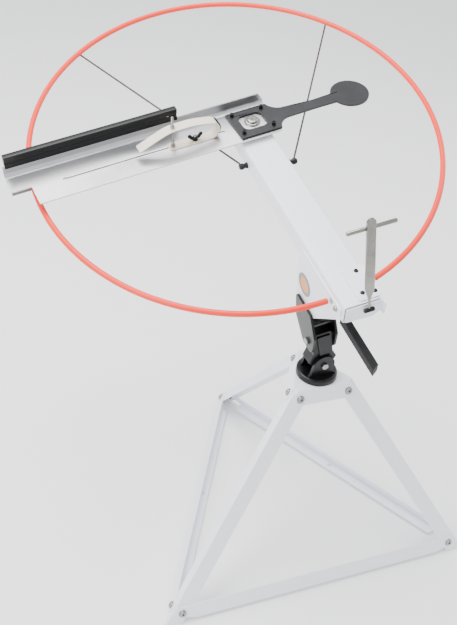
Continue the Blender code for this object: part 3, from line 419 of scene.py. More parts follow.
# %% surface finishes
def finish(name, color, worn, roughness, metallic=0.0, coat=0.0, amount=0.3, drift=10.0, spread=0.12,
           stretch=(1, 1, 1), scale=900.0, depth=0.12, anisotropic=0.0, specular=0.5):
    material = bpy.data.materials.new(name)
    material.use_nodes = True
    nodes = material.node_tree.nodes
    link = material.node_tree.links.new
    shader = nodes["Principled BSDF"]
    shader.inputs["Metallic"].default_value = metallic
    shader.inputs["Coat Weight"].default_value = coat
    shader.inputs["Coat Roughness"].default_value = 0.12
    shader.inputs["Anisotropic"].default_value = anisotropic
    shader.inputs["Specular IOR Level"].default_value = specular
    tone = nodes.new("ShaderNodeGroup")
    tone.node_tree = TONE
    tone.inputs["Color"].default_value = (*color, 1)
    tone.inputs["Worn Color"].default_value = (*worn, 1)
    tone.inputs["Amount"].default_value = amount
    tone.inputs["Scale"].default_value = drift
    tone.inputs["Roughness"].default_value = roughness
    tone.inputs["Spread"].default_value = spread
    grain = nodes.new("ShaderNodeGroup")
    grain.node_tree = GRAIN
    grain.inputs["Stretch"].default_value = stretch
    grain.inputs["Scale"].default_value = scale
    grain.inputs["Depth"].default_value = depth
    link(tone.outputs["Color"], shader.inputs["Base Color"])
    link(tone.outputs["Roughness"], shader.inputs["Roughness"])
    link(grain.outputs["Normal"], shader.inputs["Normal"])
    return material


WHITE = finish("powder_white", (0.86, 0.87, 0.93), (0.82, 0.83, 0.89), 0.38, coat=0.15, amount=0.25,
    drift=7, scale=1100, depth=0.08)
ORANGE = finish("powder_orange", (0.90, 0.030, 0.003), (0.80, 0.022, 0.002), 0.42, amount=0.35, drift=14,
    scale=1100, depth=0.08)
BLACK = finish("paint_black", (0.0022, 0.0022, 0.0024), (0.006, 0.006, 0.0065), 0.30, amount=0.6, drift=22,
    scale=520, depth=0.22, specular=0.32)
DARK = finish("coat_dark_grey", (0.013, 0.0135, 0.015), (0.022, 0.023, 0.026), 0.40, amount=0.6, drift=16,
    scale=800, depth=0.12, specular=0.35)
ALUMINIUM = finish("brushed_aluminium", (0.60, 0.60, 0.61), (0.46, 0.46, 0.48), 0.36, metallic=1.0,
    amount=0.5, drift=9, spread=0.2, stretch=(0.03, 1, 1), scale=900, depth=0.14, anisotropic=0.5)
ZINC = finish("bright_zinc", (0.34, 0.335, 0.32), (0.20, 0.20, 0.19), 0.26, metallic=1.0, amount=0.6,
    drift=40, spread=0.2, scale=700, depth=0.10)
STEEL = finish("drawn_steel", (0.27, 0.26, 0.235), (0.15, 0.145, 0.13), 0.28, metallic=1.0, amount=0.6,
    drift=26, spread=0.2, stretch=(1, 1, 0.05), scale=800, depth=0.12)
WIRE = finish("dark_wire", (0.10, 0.092, 0.082), (0.05, 0.046, 0.041), 0.36, metallic=0.9, amount=0.5,
    drift=60, scale=700, depth=0.1)
EDGE = finish("sawn_aluminium", (0.16, 0.16, 0.165), (0.10, 0.10, 0.105), 0.45, metallic=0.9, amount=0.5,
    drift=40, scale=900, depth=0.12)
OXIDE_AND_SLOT_SHADE = finish("black_oxide", (0.010, 0.010, 0.0105), (0.026, 0.0255, 0.025), 0.36, metallic=0.4,
    amount=0.5, drift=60, scale=700, depth=0.15, specular=0.35)
CREAM = finish("cream_plastic", (0.80, 0.72, 0.60), (0.70, 0.62, 0.51), 0.42, amount=0.4, drift=30,
    scale=600, depth=0.08)
RUBBER = finish("ribbed_rubber", (0.006, 0.006, 0.0062), (0.014, 0.014, 0.0142), 0.62, amount=0.5, drift=60,
    scale=620, depth=0.4, specular=0.25)
GOLD = finish("badge_gold", (0.72, 0.27, 0.035), (0.60, 0.20, 0.025), 0.38, amount=0.3, drift=80, scale=500,
    depth=0.05)
BADGE_RIM = finish("badge_grey", (0.20, 0.20, 0.205), (0.14, 0.14, 0.145), 0.40, amount=0.3, drift=80,
    scale=500, depth=0.05)
print("finishes", len(bpy.data.materials))

# %% [markdown]
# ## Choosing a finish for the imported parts
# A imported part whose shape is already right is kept. Its corners are welded and given a small bend
# radius, because no folded or cast edge is perfectly sharp, and it gets the finish of its slot.

# %% finishes of the kept parts
SLOTS = {
    "white_powder": WHITE,
    "orange_powder": ORANGE,
    "black_paint": BLACK,
    "dark_plate": DARK,
    "aluminium": ALUMINIUM,
    "zinc": ZINC,
    "black_oxide": OXIDE_AND_SLOT_SHADE,
    "cream_plastic": CREAM,
    "black_rubber": RUBBER,
}
slot_of_node = {part["node"]: part["material_slot"] for part in frame["record"]["subparts"]}
for node_name, node in frame["nodes"].items():
    for material_slot in node.material_slots:
        material_slot.link = "OBJECT"
        material_slot.material = SLOTS[slot_of_node[node_name]]


def soften(node_name, radius, angle=30):
    node = frame["nodes"][node_name]
    weld = node.modifiers.new("weld", "WELD")
    weld.merge_threshold = 0.00001
    bevel = node.modifiers.new("edge", "BEVEL")
    bevel.width = radius
    bevel.segments = 3
    bevel.limit_method = "ANGLE"
    bevel.angle_limit = math.radians(angle)


for node_name in ("leg_near", "leg_right", "leg_back"):
    soften(node_name, 0.0009, 20)
for node_name in ("brace_front", "brace_left", "brace_right", "tripod_cap"):
    soften(node_name, 0.0009, 24)
for node_name in ("gusset_left", "gusset_right", "near_plate"):
    soften(node_name, 0.0006, 34)
for node_name in ("swivel_post", "tilt_bracket"):
    soften(node_name, 0.0014, 34)
for node_name in ("lever_bar", "wing_nut", "arm_bearing"):
    soften(node_name, 0.0004, 40)
print("kept parts softened")

# %% [markdown]
# ## Fasteners
# Every bolt is turned with its real head: a button head with a hexagonal socket on the tripod, tall
# cap screws on the counterweight, plain hexagon heads on the swivel. A washer spreads the load where
# the sheet is thin.


# %% fastener maker
def hex_radius(radius, angle):
    part = angle % (math.pi / 3) - math.pi / 6
    return radius / math.cos(part) * math.cos(math.pi / 6)


def turned(name, rows, place, finish, body, sides=36, **more):
    """Lathe whose rows may be marked as hexagons: (radius, height, is_hex)."""
    points = []
    loops = []
    for row in rows:
        radius, height = row[0], row[1]
        is_hex = len(row) > 2
        if radius < 1e-7:
            loops.append([len(points)])
            points.append((0.0, 0.0, height))
            continue
        loops.append(list(range(len(points), len(points) + sides)))
        for k in range(sides):
            angle = 2 * math.pi * k / sides
            r = hex_radius(radius, angle) if is_hex else radius
            points.append((r * math.cos(angle), r * math.sin(angle), height))
    faces = []
    for low, high in zip(loops, loops[1:]):
        for k in range(sides):
            n = (k + 1) % sides
            ring = [low[k % len(low)], low[n % len(low)], high[n % len(high)], high[k % len(high)]]
            face = [i for j, i in enumerate(ring) if i not in ring[:j]]
            if len(face) > 2:
                faces.append(face)
    return new_piece(name, points, faces, place, finish, body, **more)


def socket_rows(radius, height, socket, tall=False):
    """Rows of a socket head, from the socket's floor out and down to the seat."""
    depth = height * (0.55 if tall else 0.75)
    rows = [(0, height - depth), (socket, height - depth, True), (socket, height, True)]
    if tall:
        return rows + [(radius * 0.93, height), (radius, height - radius * 0.08), (radius, 0)]
    return rows + [
        (radius * 0.62, height),
        (radius * 0.80, height * 0.86),
        (radius * 0.93, height * 0.60),
        (radius, height * 0.25),
        (radius, 0),
    ]


def shank_rows(shank, grip, nut, nut_height, tail=0.002):
    """Rows below the seat: shank, hexagon nut and the end of the thread."""
    return [
        (shank, 0),
        (shank, -grip),
        (nut, -grip, True),
        (nut, -grip - nut_height, True),
        (shank, -grip - nut_height),
        (shank * 0.8, -grip - nut_height - tail),
        (0, -grip - nut_height - tail),
    ]


# %% tripod bolts
FOOT_RADIUS = 0.470
APEX = 0.598
LEAN = math.atan2(FOOT_RADIUS / 2, APEX)
SHEET = 0.0027


def tripod_bolts():
    count = 0
    for label, height in (("foot", 0.0255), ("cap", 0.4657)):
        radius = FOOT_RADIUS / 2 * (1 - height / APEX)
        half = radius * math.tan(math.radians(60)) - 0.029
        for side, angle in (("front", -90), ("right", 30), ("left", 150)):
            out = Vector((math.cos(math.radians(angle)), math.sin(math.radians(angle)), 0))
            across = Vector((-out.y, out.x, 0))
            normal = out * math.cos(LEAN) + Vector((0, 0, math.sin(LEAN)))
            for sign, end in ((-1, "a"), (1, "b")):
                seat = out * radius + across * (sign * half) + Vector((0, 0, height)) + SHIFT
                seat += normal * (GAP * 2 + SHEET + 0.0011)
                turn = across * math.cos(count) + normal.cross(across) * math.sin(count)
                place = frame_matrix(seat, turn, normal.cross(turn), normal)
                rows = socket_rows(0.0078, 0.0042, 0.0030) + shank_rows(0.0039, 2 * SHEET + 0.0018, 0.0070,
                    0.0050)
                node = "{}_bolt_{}_{}".format(label, side, end)
                turned(node + "_detail", rows, place, ZINC, "tripod", stands_for=(node,))
                washer = [(0.0044, -0.0010), (0.0092, -0.0010), (0.0095, -0.0006), (0.0092, 0), (0.0044, 0)]
                lathe(node + "_washer", washer, 32, place, ZINC, "tripod")
                count += 1
    return count


print("tripod bolts", tripod_bolts())

# %% [markdown]
# ## Swivel
# The turntable is a turned disc with two cast lugs. The post between the lugs carries a raised rib,
# and both pivot bolts have hexagon heads that a spanner can reach.

# %% swivel pieces
BOTTOM = 0.4868 - 0.530
DISC = [
    (0, BOTTOM + 0.0150),
    (0.0400, BOTTOM + 0.0150),
    (0.0440, BOTTOM + 0.0146),
    (0.0464, BOTTOM + 0.0134),
    (0.0475, BOTTOM + 0.0112),
    (0.0475, BOTTOM + 0.0008),
    (0.0467, BOTTOM),
    (0, BOTTOM),
]
lathe("swivel_disc", DISC, 96, BASE, BLACK, "swivel_turntable", stands_for=("swivel_base",))
for index, sign in enumerate((-1, 1)):
    arc = [(0.026 * math.cos(math.pi * k / 24), 0.026 * math.sin(math.pi * k / 24)) for k in range(25)]
    lug = [(-0.036, BOTTOM + 0.0130), (0.036, BOTTOM + 0.0130), (0.0300, BOTTOM + 0.0200), *arc,
        (-0.0300, BOTTOM + 0.0200)]
    low, high = sorted((sign * 0.0183, sign * 0.0263))
    flat_plate("swivel_lug_{}".format(index + 1), lug, [circle(0, 0, 0.0053)], low, high, BASE, BLACK,
               "swivel_turntable", plane="yz", edge=0.0013)
rib = rounded([(-0.0090, 0.0300, 0.002), (0.0090, 0.0300, 0.002), (0.0165, 0.0850, 0.003),
    (-0.0165, 0.0850, 0.003)])
flat_plate("post_rib", rib, [], 0.0175, 0.0215, POST, BLACK, "swivel_knuckle", plane="yz", edge=0.0012)
cant_place = frame_matrix(CANT_O + X0 * 0.0266, Vector((0, 0, 1)).cross(X0), Vector((0, 0, 1)), X0)
cant_rows = [(0, 0.0058), (0.0050, 0.0058), (0.0078, 0.0052, True), (0.0085, 0.0044, True),
    (0.0085, 0, True)]
turned("cant_bolt_detail", cant_rows + shank_rows(0.005, 0.0532, 0.0085, 0.0070), cant_place, ZINC,
       "swivel_turntable", stands_for=("cant_bolt",), sides=48)
tilt_place = frame_matrix(TILT_O - HEAD_Y * 0.0296, X0, POST_Z, -HEAD_Y)
tilt_rows = [(0, 0.0060), (0.0055, 0.0060), (0.0082, 0.0054, True), (0.0090, 0.0044, True),
    (0.0090, 0, True)]
turned("tilt_bolt_detail", tilt_rows + shank_rows(0.005, 0.0592, 0.0085, 0.0070), tilt_place, ZINC,
       "swivel_knuckle", stands_for=("tilt_bolt",), sides=48)
print("swivel pieces done")

# %% [markdown]
# ## Head
# The head is a rectangular tube with rounded corners. It stays open at both ends, so the wall shows
# at the far end. The badge on the left gusset is a plain ring around a plain disc.

# %% tube and small trim
TUBE = rounded([(-0.041, -0.046, 0.006), (0.041, -0.046, 0.006), (0.041, 0, 0.006), (-0.041, 0, 0.006)])
BORE = rounded([(-0.0385, -0.0435, 0.0035), (0.0385, -0.0435, 0.0035), (0.0385, -0.0025, 0.0035),
    (-0.0385, -0.0025, 0.0035)])
flat_plate("head_tube", TUBE, [BORE], -0.112, 0.513, HEAD, WHITE, "head", plane="yz",
    stands_for=("main_tube",), edge=0.0004)


def on_head(x, y, z, out):
    """Place of a turned piece on the head, its axis along out."""
    helper = HEAD_X if abs(out.dot(HEAD_X)) < 0.9 else HEAD_Y
    side = helper.cross(out).normalized()
    return frame_matrix(HEAD @ Vector((x, y, z)), side, out.cross(side), out)


for index, (x, y) in enumerate(((0.4345, 0.0238), (0.4914, 0.0091), (0.4946, 0.0353))):
    screw = socket_rows(0.0050, 0.0022, 0.0024) + [(0.0030, 0), (0.0030, -0.0020), (0, -0.0020)]
    turned("plate_screw_{}".format(index + 1), screw, on_head(x, y, 0.0034, HEAD_Z), OXIDE_AND_SLOT_SHADE, "head")
bracket_fold, bracket_lengths = fold([(-0.0370, 0.5163), (0.0420, 0.5163), (0.0420, 0.5283)],
    (0.0, -0.0030), True)


def upright_fold(u, v, side):
    z, y, x = bracket_fold(u, v, side)
    return (x, y, z)


flat = bracket_lengths[1]
web = rounded([(0, -0.0040, 0.003), (0, -0.0440, 0.006), (flat - 0.0140, -0.0480, 0.006),
    (flat, -0.0360, 0), (flat, -0.0040, 0)])
lip = rounded([(flat, -0.0360, 0), (flat + 0.0120, -0.0360, 0.003), (flat + 0.0120, -0.0040, 0.003),
    (flat, -0.0040, 0)])
sheet("end_bracket", [(web, [], upright_fold), (lip, [], upright_fold)], HEAD, WHITE, "head",
      stands_for=("front_bracket",), edge=0.0005)
badge_place = on_head(0.3555, -0.0454, -0.0953, -HEAD_Y)
rim = [(0.0185, 0), (0.0275, 0), (0.0275, 0.0006), (0.0268, 0.0010), (0.0192, 0.0010), (0.0185, 0.0006)]
lathe("badge_rim", rim, 72, badge_place, BADGE_RIM, "head")
lathe("badge_centre", [(0, 0), (0.0180, 0), (0.0184, 0.0006), (0, 0.0007)], 64, badge_place, GOLD, "head")
print("tube and trim done")

# %% side bolts and knobs
for node, x, y, z, way, reach in (
    ("ring_stud_left", 0.468, -0.0454, -0.0235, -1, 0.0018),
    ("gusset_bolt", 0.489, -0.0454, -0.0250, -1, 0.0045),
    ("ring_stud_right", 0.468, 0.0411, -0.0235, 1, 0.0120),
):
    rows = socket_rows(0.0062, reach, 0.0026) if reach > 0.004 else [(0, reach), (0.0058, reach),
        (0.0062, reach * 0.6), (0.0062, 0)]
    grip = 0.0072 if way < 0 else 0.0028
    turned(node + "_detail", rows + shank_rows(0.003, grip, 0.0058, 0.0045), on_head(x, y, z, HEAD_Y * way),
        ZINC,
           "head", stands_for=(node,))
for node, x, z, way in (("rod_knob_left", 0.024, -0.034, -1), ("rod_knob_right", 0.070, -0.014, 1)):
    knob = [(0, 0.0200), (0.0048, 0.0200), (0.0062, 0.0188), (0.0074, 0.0160), (0.0075, 0.0120),
        (0.0062, 0.0085),
            (0.0055, 0.0050), (0.0070, 0.0032), (0.0072, 0)]
    turned(node + "_detail", knob + shank_rows(0.003, 0.0028, 0.0058, 0.0045),
        on_head(x, way * 0.0412, z, HEAD_Y * way),
           OXIDE_AND_SLOT_SHADE, "head", stands_for=(node,))
print("side bolts done")

# %% [markdown]
# ## Guard ring
# The ring is one round bar bent to a slightly long oval, open at the operator's end. Two thin rods
# run out to it from the head and end in a small nut just past the bar.

# %% ring and rods
RING_Z = -0.0170


RING_CENTRE = Vector((-0.0691, -0.0328, RING_Z))
RING_TURN = Matrix.Rotation(math.radians(-18.0), 3, "Z")


def ring_point(angle):
    return RING_CENTRE + RING_TURN @ Vector((0.5452 * math.cos(angle), 0.4799 * math.sin(angle), 0))


START = math.radians(31.4)
STOP = math.radians(377.6)
ring_path = [HEAD @ ring_point(START + (STOP - START) * k / 240) for k in range(241)]
bent_bar("guard_ring", ring_path, 0.00635, 32, Matrix.Identity(4), ORANGE, "head", stands_for=("ring",))
UNDER = RING_Z - 0.00635 - 0.0020 - 2 * GAP
for node, x, z, angle, way in (
    ("rod_left", 0.024, -0.034, 231.0, -1),
    ("rod_right", 0.070, -0.014, 145.5, 1),
):
    tip = RING_CENTRE.lerp(ring_point(math.radians(angle)), 1.027)
    tip.z = UNDER
    eye = Vector((x, way * 0.051, min(z, UNDER)))
    start = eye + (tip - eye).normalized() * 0.0110
    start.z = min(z, UNDER)
    rod_path = [HEAD @ start, HEAD @ start.lerp(tip, 0.5), HEAD @ tip]
    bent_bar(node + "_bar", rod_path, 0.0023, 20, Matrix.Identity(4), WIRE, "head", stands_for=(node,))
    along = (tip - start).normalized()
    side = Vector((0, 0, 1)).cross(along).normalized()
    nut_place = HEAD @ frame_matrix(tip - along * 0.0075, side, along.cross(side), along)
    turned(node + "_nut", [(0.0021, 0), (0.0042, 0, True), (0.0042, 0.0038, True), (0.0021, 0.0038),
        (0.0021, 0)],
           nut_place, WIRE, "head", sides=36)
print("ring and rods done")

# %% [markdown]
# ## Trigger and lever
# The trigger is a flat bar that narrows to a thin stem at its foot, with a round cross pin for the
# fingers. The lever below it is a flat bar in a ribbed rubber sleeve whose end is cut at a slant.

# %% trigger
TRIGGER_LEAN = math.radians(14.0)
FOOT = HEAD @ Vector((0.5245, 0.0090, -0.0120))
LEAN_Z = HEAD_Z * math.cos(TRIGGER_LEAN) - HEAD_X * math.sin(TRIGGER_LEAN)
LEAN_X = HEAD_X * math.cos(TRIGGER_LEAN) + HEAD_Z * math.sin(TRIGGER_LEAN)
LEANING = frame_matrix(FOOT, LEAN_X, HEAD_Y, LEAN_Z)


def blade_width(height):
    """Half width of the bar: a thin stem, a taper, then parallel sides to a round end."""
    if height < 0.026:
        return 0.0021
    if height < 0.052:
        return 0.0021 + 0.0074 * (height - 0.026) / 0.026
    top = 0.212 - height
    return 0.0095 if top > 0.0095 else math.sqrt(max(0.0095 ** 2 - (0.0095 - top) ** 2, 1e-8))


heights = [0.0053, 0.020, 0.026, 0.032, 0.038, 0.045, 0.052]
heights += [0.052 + 0.1505 * k / 14 for k in range(1, 15)]
heights += [0.2025 + 0.0095 * math.sin(math.pi / 2 * k / 10) for k in range(1, 11)]
blade_points = []
for height in heights:
    lift = min(max((0.165 - height) / 0.11, 0.0), 1.0)
    twist = math.radians(38) * lift * lift * (3 - 2 * lift)
    half, thick = blade_width(height), 0.0026
    for u, v in ((-half, -thick), (half, -thick), (half, thick), (-half, thick)):
        x = v * math.cos(twist) + u * math.sin(twist)
        y = u * math.cos(twist) - v * math.sin(twist)
        blade_points.append((x, y, height))
rows = len(heights)
blade_faces = [(3, 2, 1, 0), tuple(4 * (rows - 1) + k for k in range(4))]
for k in range(rows - 1):
    for j in range(4):
        n = (j + 1) % 4
        blade_faces.append((4 * k + j, 4 * k + n, 4 * k + 4 + n, 4 * k + 4 + j))
new_piece("trigger_blade", blade_points, blade_faces, LEANING, STEEL, "trigger",
    stands_for=("trigger_bar",), edge=0.0005)
pin_rows = [(0, 0), (0.0030, 0), (0.0039, 0.0006), (0.0043, 0.0016), (0.0043, 0.1044), (0.0039, 0.1054),
    (0.0030, 0.106), (0, 0.106)]
pin_place = frame_matrix(LEANING @ Vector((-0.0059, 0.0045 - 0.053, 0.188)), LEAN_Z, LEAN_X, HEAD_Y)
lathe("trigger_pin", pin_rows, 40, pin_place, STEEL, "trigger", stands_for=("trigger_cross_pin",))
foot_rows = [(0, 0), (0.0036, 0), (0.0046, 0.0012), (0.0050, 0.003), (0.0050, 0.020), (0.0046, 0.0218),
    (0.0036, 0.023), (0, 0.023)]
lathe("trigger_hinge", foot_rows, 40, frame_matrix(FOOT - HEAD_Y * 0.0115, HEAD_X, -HEAD_Z, HEAD_Y), OXIDE_AND_SLOT_SHADE,
    "head",
      stands_for=("trigger_foot",))
print("trigger done")

# %% lever grip
GRIP_Y = 0.0084
GRIP_Z = 0.0118
GRIP_START = 0.4725
GRIP_END = 0.6170


def make_sleeve():
    """Rounded tube with fine rings round it and a slanted end."""
    half = [(-GRIP_Y, -GRIP_Z, 0.003), (GRIP_Y, -GRIP_Z, 0.003), (GRIP_Y, GRIP_Z, 0.003),
        (-GRIP_Y, GRIP_Z, 0.003)]
    section = rounded(half, 5)
    count = len(section)
    rings = 120
    points = []
    for k in range(rings + 1):
        share = k / rings
        depth = 0.965 if k % 2 and k < rings - 2 else 1.0
        for y, z in section:
            end = GRIP_END - (y + GRIP_Y) * 0.62
            points.append((GRIP_START + (end - GRIP_START) * share, y * depth, z * depth))
    faces = [tuple(reversed(range(count))), tuple(range(rings * count, (rings + 1) * count))]
    for k in range(rings):
        for j in range(count):
            n = (j + 1) % count
            faces.append((k * count + j, k * count + n, (k + 1) * count + n, (k + 1) * count + j))
    place = HEAD @ Matrix.Translation(Vector((0, -0.0105, -0.0935)))
    new_piece("lever_sleeve", points, faces, place, RUBBER, "lever", stands_for=("lever_grip",))


make_sleeve()
pivot_rows = socket_rows(0.0060, 0.0035, 0.0026) + shank_rows(0.003, 0.0150, 0.0058, 0.0045)
turned("lever_pivot_detail", pivot_rows, on_head(0.4385, -0.0125, -0.0935, -HEAD_Y), ZINC, "head",
       stands_for=("lever_pivot_bolt",))
print("lever done")

# %% [markdown]
# ## Throwing arm
# The arm is one aluminium sheet: a floor, a wide bend and a low back wall. A slot lets the clamp
# slide, a notch lightens the tip, and a black extrusion grips the top of the wall to guide the clay.

# %% arm channel
FRONT = 0.0555
HEEL = -0.0530
TIP = 0.5770
BEND_Y = -0.0430
BEND = 0.0120
stations = [(FRONT, 0.0), (BEND_Y, 0.0)]
for k in range(1, 13):
    angle = math.radians(90) * k / 12
    stations.append((BEND_Y - BEND * math.sin(angle), BEND * (1 - math.cos(angle))))
stations.append((-0.0550, 0.0280))
arm_fold, arm_lengths = fold(stations, (0.0, 0.0030), True)
WEIGHT_HOLES = [(sx * 0.038, sy * 0.0330 + 0.002) for sx in (-1, 1) for sy in (-1, 1)]
line = FRONT - 0.0050
slot_loop = []
for k in range(13):
    angle = math.pi + math.pi * k / 12
    slot_loop.append((line + 0.0033 * math.cos(angle), 0.0765 + 0.0033 * math.sin(angle)))
opening = math.asin(0.0033 / 0.0055)
for k in range(25):
    angle = -math.pi / 2 + opening + (2 * math.pi - 2 * opening) * k / 24
    slot_loop.append((line + 0.0055 * math.cos(angle), 0.4584 + 0.0055 * math.sin(angle)))
edge_u = arm_lengths[1]
floor_loop = rounded([
    (0, HEEL, 0.010), (edge_u, HEEL, 0), (edge_u, TIP, 0), (FRONT + 0.0030, TIP, 0.003),
    (FRONT + 0.0030, 0.5320, 0.0015), (0, 0.5320, 0.004),
])
floor_holes = [slot_loop, circle(FRONT, 0, 0.0103)]
floor_holes += [circle(FRONT - y, x, 0.0028, 20) for x, y in WEIGHT_HOLES]
regions = [(floor_loop, floor_holes, arm_fold)]
for k in range(1, 13):
    a, b = arm_lengths[k], arm_lengths[k + 1]
    regions.append(([(a, HEEL), (b, HEEL), (b, TIP), (a, TIP)], [], arm_fold))
top_u = arm_lengths[14]
wall_loop = [(arm_lengths[13], HEEL, 0), (top_u, HEEL + 0.0115, 0.003), (top_u, TIP, 0.003),
    (arm_lengths[13], TIP, 0)]
regions.append((rounded(wall_loop), [], arm_fold))
arm_sheet = sheet("arm_sheet", regions, ARM, ALUMINIUM, "arm", stands_for=("arm_channel",), edge=0.0002)
# Painted shade: the vertical walls of the clamp slot get the black oxide finish, so the slot reads dark like a
# shaded recess in the aluminium sheet.
arm_sheet.data.materials.append(OXIDE_AND_SLOT_SHADE)
for face in arm_sheet.data.polygons:
    x, y, z = face.center
    if abs(face.normal.z) < 0.3 and abs(y - 0.0050) < 0.0060 and 0.070 < x < 0.466:
        face.material_index = 1
flat_plate("tip_lip", [(0.5335, -0.0112), (0.5765, -0.0112), (0.5765, -0.0029), (0.5335, -0.0029)], [],
           -0.0052, -0.0032, ARM, EDGE, "arm", plane="xz", edge=0.0004)
print("arm sheet length", TIP - HEEL)

# %% rail and counterweight
MIDDLE = -0.0565
rail = rounded([
    (0.0018, 0.0283, 0), (0.0018, 0.0245, 0), (0.0058, 0.0245, 0.001), (0.0070, 0.0258, 0.001),
    (0.0070, 0.0362, 0.001), (0.0042, 0.0380, 0.0008), (0.0042, 0.0415, 0.0008), (0.0070, 0.0433, 0.001),
    (0.0070, 0.0558, 0.0012), (-0.0070, 0.0558, 0.0012), (-0.0070, 0.0245, 0.001), (-0.0018, 0.0245, 0),
    (-0.0018, 0.0283, 0),
], 4)
flat_plate("guide_rail", [(MIDDLE + y, z) for y, z in rail], [], 0.1680, 0.5720, ARM, BLACK, "arm",
    plane="yz",
           stands_for=("arm_rail",))
rivet_place = ARM @ frame_matrix(Vector((0.190, -0.0526, 0.0402)), Vector((0, 0, 1)), Vector((1, 0, 0)),
    Vector((0, 1, 0)))
lathe("rail_rivet", [(0, 0.0016), (0.0016, 0.0014), (0.0026, 0.0008), (0.0030, 0), (0, 0)], 32, rivet_place,
    ZINC, "arm")

disc_arc = []
for k in range(61):
    angle = math.radians(20 + 320 * k / 60)
    disc_arc.append((-0.2590 + 0.0470 * math.cos(angle), 0.005 + 0.0470 * math.sin(angle)))

upper = [(0.050, 0.050), (-0.053, 0.050)]
upper += [(-0.053 - 0.037 * t, 0.022 + 0.024 * (1 - t) ** 2.6) for t in [k / 10 for k in range(1, 11)]]
upper += [(-0.163, 0.0205)]
lower = [(-0.163, -0.0085)]
lower += [(-0.053 - 0.037 * t, -0.014 - 0.0245 * (1 - t) ** 2.6) for t in [
    k / 10 for k in range(10, 0, -1)]]
lower += [(-0.053, -0.0425), (0.050, -0.0425)]
window = rounded([(-0.030, -0.024, 0.015), (0.030, -0.024, 0.015), (0.030, 0.028, 0.015),
    (-0.030, 0.028, 0.015)], 12)
weight_holes = [window] + [circle(x, y, 0.0028, 20) for x, y in WEIGHT_HOLES]
flat_plate("weight_plate", upper + disc_arc + lower, weight_holes, GAP, GAP + 0.005, ARM, DARK, "arm",
           stands_for=("counterweight",), edge=0.0006)
for k, (x, y) in enumerate(WEIGHT_HOLES):
    rows = socket_rows(0.0045, 0.0080, 0.0022, tall=True)
    rows += [(0.0025, 0), (0.0025, -0.0086), (0.0045, -0.0086, True), (0.0045, -0.0114, True), (0, -0.0114)]
    node = "weight_bolt_{}".format(k + 1)
    turned(node + "_detail", rows, ARM @ Matrix.Translation(Vector((x, y, 0.0055))), OXIDE_AND_SLOT_SHADE, "arm",
        stands_for=(node,))
print("rail and counterweight done")

# %% hub
hub = [(0.0103, GAP), (0.0190, GAP), (0.0190, 0.0022), (0.0182, 0.0030), (0.0162, 0.0030), (0.0158, 0.0040),
    (0.0140, 0.0045), (0.0103, 0.0045)]
lathe("hub_washer", hub, 72, ARM, ZINC, "arm", stands_for=("hub_flange",))
TOP = 0.0048
LOW = -0.0168
spindle = [
    (0, TOP + 0.0038), (0.0050, TOP + 0.0038), (0.0054, TOP + 0.0044), (0.0090, TOP + 0.0045),
        (0.0118, TOP + 0.0040),
    (0.0130, TOP + 0.0028), (0.0130, TOP), (0.0100, TOP), (0.0100, LOW), (0.0150, LOW, True),
        (0.0150, LOW - 0.010, True),
    (0.0100, LOW - 0.010), (0.0092, LOW - 0.014), (0, LOW - 0.014),
]
turned("hub_spindle", spindle, ARM, ZINC, "arm", stands_for=("arm_spindle",), sides=72)
flat_plate("hub_slot", rounded([(-0.0044, -0.0007, 0.0003), (0.0044, -0.0007, 0.0003),
    (0.0044, 0.0007, 0.0003), (-0.0044, 0.0007, 0.0003)], 3), [],
           TOP + 0.0037, TOP + 0.0040, ARM @ Matrix.Rotation(math.radians(35), 4, "Z"), OXIDE_AND_SLOT_SHADE, "arm")
print("hub done")

# %% [markdown]
# ## Clamp
# A sprung leaf holds the clay down. It is a hairpin of stiff plastic with a rubber clip round its
# bend. A threaded post sets its height, and a wing nut locks it anywhere along the slot.


# %% clamp
def smooth_path(points, steps=8):
    """Points of a smooth curve through the given points."""
    path = []
    for k in range(len(points) - 1):
        p0 = Vector(points[max(k - 1, 0)])
        p1 = Vector(points[k])
        p2 = Vector(points[k + 1])
        p3 = Vector(points[min(k + 2, len(points) - 1)])
        for s in range(steps):
            t = s / steps
            path.append(0.5 * (2 * p1 + (p2 - p0) * t + (2 * p0 - 5 * p1 + 4 * p2 - p3) * t ** 2 + (
                3 * p1 - p0 - 3 * p2 + p3) * t ** 3))
    path.append(Vector(points[-1]))
    return [tuple(p) for p in path]


POST_X = 0.2024
leaf = [(POST_X + 0.011, GAP), (0.1140, GAP)]
for k in range(1, 21):
    angle = math.radians(165) * k / 20
    leaf.append((0.1140 - 0.0230 * math.sin(angle), GAP + 0.0230 * (1 - math.cos(angle))))
bend_end = len(leaf) - 1
leaf += smooth_path([leaf[-1], (0.1500, 0.0535), (0.1900, 0.0545), (0.2150, 0.0520), (0.2400, 0.0430),
    (0.2870, 0.0225)])[1:]
leaf_fold, leaf_lengths = fold(leaf, (0.0, -0.0015), False)
LEAF_LOW = 0.0050 - 0.0125
LEAF_HIGH = 0.0050 + 0.0125
leaf_regions = []
for k in range(len(leaf) - 1):
    a, b = leaf_lengths[k], leaf_lengths[k + 1]
    strip = [(a, LEAF_LOW, 0), (b, LEAF_LOW, 0), (b, LEAF_HIGH, 0), (a, LEAF_HIGH, 0)]
    if k == 0:
        strip = [(a, LEAF_LOW, 0.006), (b, LEAF_LOW, 0), (b, LEAF_HIGH, 0), (a, LEAF_HIGH, 0.006)]
    if k == len(leaf) - 2:
        strip = [(a, LEAF_LOW, 0), (b, LEAF_LOW, 0.003), (b, LEAF_HIGH, 0.003), (a, LEAF_HIGH, 0)]
    leaf_regions.append((rounded(strip), [], leaf_fold))
sheet("sprung_leaf", leaf_regions, ARM, CREAM, "clamp", stands_for=("clamp_leaf",), edge=0.0003)
clip_fold, clip_lengths = fold(leaf, (GAP, GAP + 0.0030), False)
clip_regions = []
for k in range(6, 17):
    a, b = clip_lengths[k], clip_lengths[k + 1]
    clip_regions.append(([(a, -0.0050), (b, -0.0050), (b, 0.0150), (a, 0.0150)], [], clip_fold))
sheet("bend_clip", clip_regions, ARM, RUBBER, "clamp", stands_for=("leaf_clip",), edge=0.0005)


